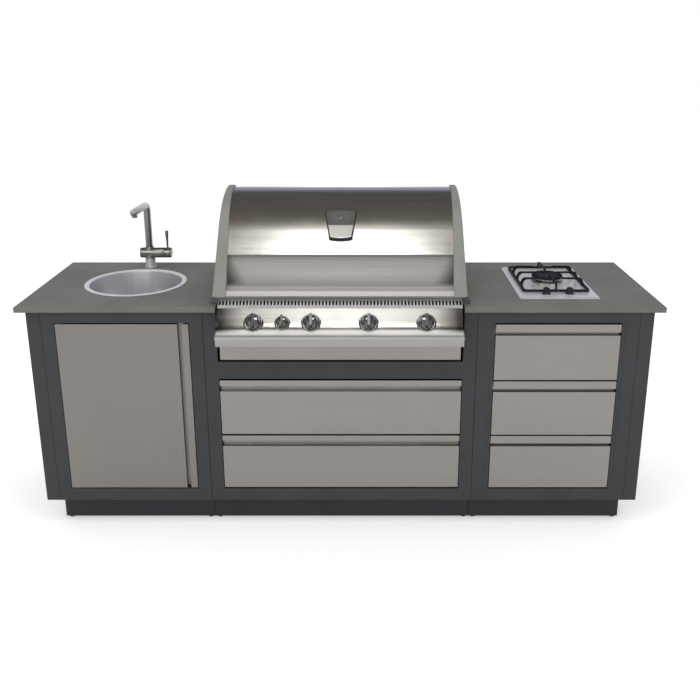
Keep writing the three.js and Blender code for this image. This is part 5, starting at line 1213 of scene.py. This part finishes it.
def buildWaste():
    seat, under = -sink["depth"] + waste["seat"], -sink["depth"] + waste["under"]
    neck, flange = waste["neck"], waste["flange"]
    nut, top = under - waste["nut"], under - waste["pipe"]
    bottom, outlet = top - waste["trap"], top - waste["outlet"]
    strainer = seat - waste["strainer"]
    body = draw("sinkWasteTrap", (addLathe, [
        (0, bottom), (30, bottom), (33, bottom + 1), (34, bottom + 4), (34, top - 30), (35.5, top - 29),
        (35.5, top - 12), (34, top - 11), (34, top), (17, top + 4), (17, top + 30), (26, top + 31),
        (30, top + 34), (30, nut), (47, nut), (47, under), (neck, under), (neck, seat), (flange, seat),
        (flange - 0.8, seat + 1.4), (flange - 3, seat + 2), (36, seat + 1.6), (35, seat), (33.7, strainer),
        (0, strainer)], waste["steps"]), local=True)
    pipe = draw("outlet", (addBar, [(0, 20, outlet), (0, 90, outlet)], 15, 28),
                (addBar, [(0, 34, outlet), (0, 46, outlet)], 19, 6), local=True)
    joinMeshes(shadeRound(body, "turned"), shadeRound(pipe, "turned"))
    settle(moved(body, sinkPlace), "bowlSteel", "cabinet", "sink_waste")
    # Dark discs on the strainer are painted shade in its holes.
    wide = waste["hole"]
    aside = Matrix.Translation((waste["holeRing"], 0, 0))
    holes = draw("strainerHoles", (addLathe, [(0, -0.2), (wide, -0.2), (wide, 0.15), (0, 0.15)],
                                   waste["holeSteps"], aside), local=True)
    repeat(holes, "ring", waste["holes"], 2 * math.pi / waste["holes"], "darkPlastic")
    settle(moved(holes, sinkPlace @ Matrix.Translation((0, 0, strainer))), "darkPlastic", "cabinet")


# mixer tap: pedestal, cross barrel, turning handle with its lever, and a bent spout
tap = {"y": 581, "base": 25, "pedestal": 21, "barrel": 21.5, "height": 63, "left": 38, "right": 62,
       "handle": 30, "gap": 0.4, "groove": 2, "collar": 17.5, "collarRise": 6, "spout": 14.5, "spoutTop": 284,
       "spoutGap": 0.3, "spoutSides": 48, "reach": 112, "droop": 8, "restTurn": -16, "bend": 18,
       "bendSteps": 14, "nose": 13, "ball": 4.6, "slotGap": 0.3, "shank": 16, "shankLength": 55,
       "nut": (-32.3, -20.3), "nutRadius": 25, "steps": 64, "collarSteps": 56, "leverSteps": 32}
tapPlace = toFrame @ Matrix.Translation((island["sinkX"], tap["y"], island["worktop"]))


def barrelProfile(start, end, edge=1.6):
    r = tap["barrel"]
    return [(0, start), (r - edge, start), (r - edge * 0.3, start + edge * 0.3), (r, start + edge),
            (r, end - edge), (r - edge * 0.3, end - edge * 0.3), (r - edge, end), (0, end)]


def buildTap():
    across = Matrix.Translation((0, 0, tap["height"])) @ Matrix.Rotation(math.pi / 2, 4, "Y")
    high = tap["height"] + tap["barrel"] + tap["collarRise"]
    base, foot, collar, shank = tap["base"], tap["pedestal"], tap["collar"], tap["shank"]
    middle = tap["height"]
    body = draw("tapBodyTurned", (addLathe, [
        (0, -tap["shankLength"]), (shank, -tap["shankLength"]), (shank, 0), (base, 0), (base, 3.4),
        (base - 0.6, 4.6), (base - 2, 5.6), (foot + 1.2, 6.4), (foot, 8), (foot, middle), (0, middle)],
        tap["steps"]),
        (addLathe, barrelProfile(-tap["left"], tap["right"]), tap["steps"], across),
        (addLathe, [(0, middle), (collar, middle), (collar, high - 1.2), (collar - 0.4, high - 0.4),
                    (collar - 1.2, high), (0, high)], tap["collarSteps"]),
        (addBar, [(0, 0, z) for z in tap["nut"]], tap["nutRadius"], 6), local=True)
    settle(moved(shadeRound(body, "turned"), tapPlace), "tapSteel", "cabinet", "tap_body")

    start = tap["right"] + tap["gap"]
    end = start + tap["handle"]
    r = tap["barrel"]
    handle = draw("tapHandleTurned", (addLathe, [
        (0, start), (r - 1.6, start), (r - 0.5, start + 0.5), (r, start + 1.6), (r, end - 5.2),
        (r - tap["groove"], end - 5), (r - tap["groove"], end - 3), (r, end - 2.8), (r, end - 1.6),
        (r - 0.5, end - 0.5), (r - 1.6, end), (0, end)], tap["steps"], across), local=True)
    pivotX, pivotZ = tap["right"] + tap["handle"] / 2, tap["height"] + r / 2
    slot = tap["ball"] + tap["slotGap"]
    carve(handle, draw("leverSlot", (addBox, (pivotX - slot, end - 5.4), (-slot, slot),
                                     (pivotZ - slot, pivotZ + 20)), local=True))
    settle(moved(shadeRound(handle, "cut"), tapPlace), "tapSteel", "handle", "tap_handle")
    ring = draw("tapHandleRing", (addLathe, [(r - 1.9, end - 4.9), (r - 0.3, end - 4.8), (r - 0.3, end - 3.2),
                                             (r - 1.9, end - 3.1)], tap["steps"], across), local=True)
    settle(moved(shadeRound(ring), tapPlace), "darkPlastic", "handle")

    ball = [(tap["ball"] * math.cos(math.radians(a)), tap["ball"] * math.sin(math.radians(a)))
            for a in range(-90, 1, 15)]
    ball[0] = (0, -tap["ball"])
    lever = draw("tapLeverTurned", (addLathe, ball + [
        (4, 4.6), (4, 21), (4.4, 32), (5.4, 51), (6.6, 69), (7.4, 79.6), (7, 82.4), (5.2, 83.8), (0, 84)],
        tap["leverSteps"], Matrix.Translation((pivotX, 0, pivotZ))), local=True)
    settle(moved(shadeRound(lever, "turned"), tapPlace), "tapSteel", "lever", "tap_lever")


def buildSpout():
    droop = math.radians(tap["droop"])
    foot = tap["height"] + tap["barrel"] + tap["collarRise"] + tap["spoutGap"]
    elbow = Vector((0, 0, tap["spoutTop"] - tap["spout"]))
    way = Vector((0, -math.cos(droop), -math.sin(droop)))
    reach = tap["reach"] / math.cos(droop)
    a, b, steps = elbow - Vector((0, 0, tap["bend"])), elbow + way * tap["bend"], tap["bendSteps"]
    shares = [k / steps for k in range(steps + 1)]
    bend = [a.lerp(elbow, t).lerp(elbow.lerp(b, t), t) for t in shares]
    r = tap["spout"]
    points = ([Vector((0, 0, foot)), Vector((0, 0, foot + 0.8))] + bend
              + [elbow + way * (reach - 1.5), elbow + way * (reach - 0.4), elbow + way * reach])
    radii = [r - 0.8, r] + [r] * len(bend) + [r, r - 0.5, r - 1.6]
    nose = [(0, -16), (8.6, -16), (8.8, -22.2), (9.6, -22.5), (11, -21.6), (11, -8), (0, -8)]
    spout = draw("tapSpoutBent", (addBar, points, radii, tap["spoutSides"]),
                 (addLathe, nose, 40, Matrix.Translation(elbow + way * (reach - tap["nose"]))), local=True)
    turn = Matrix.Rotation(math.radians(tap["restTurn"]), 4, "Z")
    settle(moved(shadeRound(spout, "turned"), tapPlace @ turn), "tapSteel", "spout", "tap_spout")


buildSink()
buildWaste()
buildTap()
buildSpout()
print("stage: sink and tap")


# hob: the burner with its enamelled cap, its flame slots, and two knobs
hob = {"y": 334, "shift": 20, "burner": 62, "throat": 38, "height": 18, "seat": 1.3, "cap": 61,
       "capHeight": 12, "steps": 80, "slots": 36, "slotHalf": 1.1, "knobSpread": 44, "knobFront": 179,
       "knob": 17, "knobBase": 6.1, "knobHeight": 24, "knobBody": 0.8, "knobSteps": 48, "bore": 4.3,
       "boreTop": 17.8}


def buildHob():
    place = toFrame @ Matrix.Translation((island["hobX"], hob["y"] + hob["shift"], island["worktop"]))
    seat, top = hob["seat"], hob["seat"] + hob["height"]
    wide, throat, rim, half = hob["burner"], hob["throat"], hob["cap"] - 4, hob["slotHalf"]
    burner = draw("hobBurnerTurned", (addLathe, [
        (0, -hob["height"]), (throat, -hob["height"]), (throat, seat), (wide - 0.8, seat), (wide, seat + 0.8),
        (wide, seat + 4.7), (wide - 1, seat + 5.6), (throat + 3, seat + 7.6), (throat + 2, seat + 9),
        (throat + 3, seat + 10.8), (rim - 1, seat + 13), (rim, seat + 14), (rim, top - 0.8), (rim - 0.8, top),
        (throat, top), (throat - 2, top - 5.5), (0, top - 5.5)], hob["steps"]), local=True)
    settle(moved(shadeRound(burner, "turned"), place), "rackSteel", "cabinet", "hob_burner")
    # Dark blocks round the burner's rim are painted shade in its flame slots.
    slots = draw("flameSlots", (addBox, (rim - 3, rim + 0.15), (-half, half), (top - 3.6, top - 0.6)),
                 local=True)
    repeat(slots, "ring", hob["slots"], 2 * math.pi / hob["slots"], "darkPlastic")
    settle(moved(slots, place), "darkPlastic", "cabinet")
    low, r = top + 0.3, hob["cap"]
    high = low + hob["capHeight"]
    cap = draw("hobCapTurned", (addLathe, [
        (0, low), (r - 2, low), (r - 0.6, low + 0.6), (r, low + 2), (r, high - 5), (r - 0.8, high - 3),
        (r - 3, high - 1.4), (r - 8, high - 0.6), (40, high - 0.1), (38.6, high - 0.2), (37, high - 1.4),
        (35.4, high - 2), (0, high - 1.6)], hob["steps"]), local=True)
    settle(moved(shadeRound(cap, "turned"), place), "blackEnamel", "cabinet", "hob_burner_cap")


def buildHobKnob(node, side):
    base, r, bore, deep = hob["knobBase"], hob["knob"], hob["bore"], hob["boreTop"]
    top, body = base + hob["knobHeight"], r * hob["knobBody"]
    place = toFrame @ Matrix.Translation((island["hobX"] + side * hob["knobSpread"],
                                          hob["y"] - hob["knobFront"], island["worktop"]))
    turned = draw(node + "_turned", (addLathe, [
        (bore, base), (r - 0.6, base), (r, base + 0.6), (r, base + 1.6), (body + 0.6, base + 3),
        (body, base + 4.4), (body * 0.94, top - 3), (body * 0.9, top - 1), (body * 0.8, top), (0, top),
        (0, deep), (bore, deep)], hob["knobSteps"]), local=True)
    bar = roundedOutline([(-2, -body), (2, -body), (2, body), (-2, body)], 1.8, 4)
    ridge = draw("ridge", (addPrism, bar, "z", base + 4, top + 2), local=True)
    joinMeshes(shadeRound(turned, "turned"), shadeRound(ridge, "turned"))
    settle(moved(turned, place), "darkPlastic", bodyOf[node], node)
    low, high = base - 0.05, base + 1.9
    ring = draw(node + "_ring", (addLathe, [(r - 0.3, low), (r, low), (r, high), (r - 0.3, high)],
                                 hob["knobSteps"]), local=True)
    settle(moved(shadeRound(ring, "turned"), place), "hobSteel", bodyOf[node])
    mark = draw(node + "_mark", (addBox, (-0.5, 0.5), (2, body - 1.5), (top + 1.7, top + 2.1)), local=True)
    settle(moved(mark, place), "dialFace", bodyOf[node])


buildHob()
buildHobKnob("hob_knob_left", -1)
buildHobKnob("hob_knob_right", 1)
print("stage: hob")
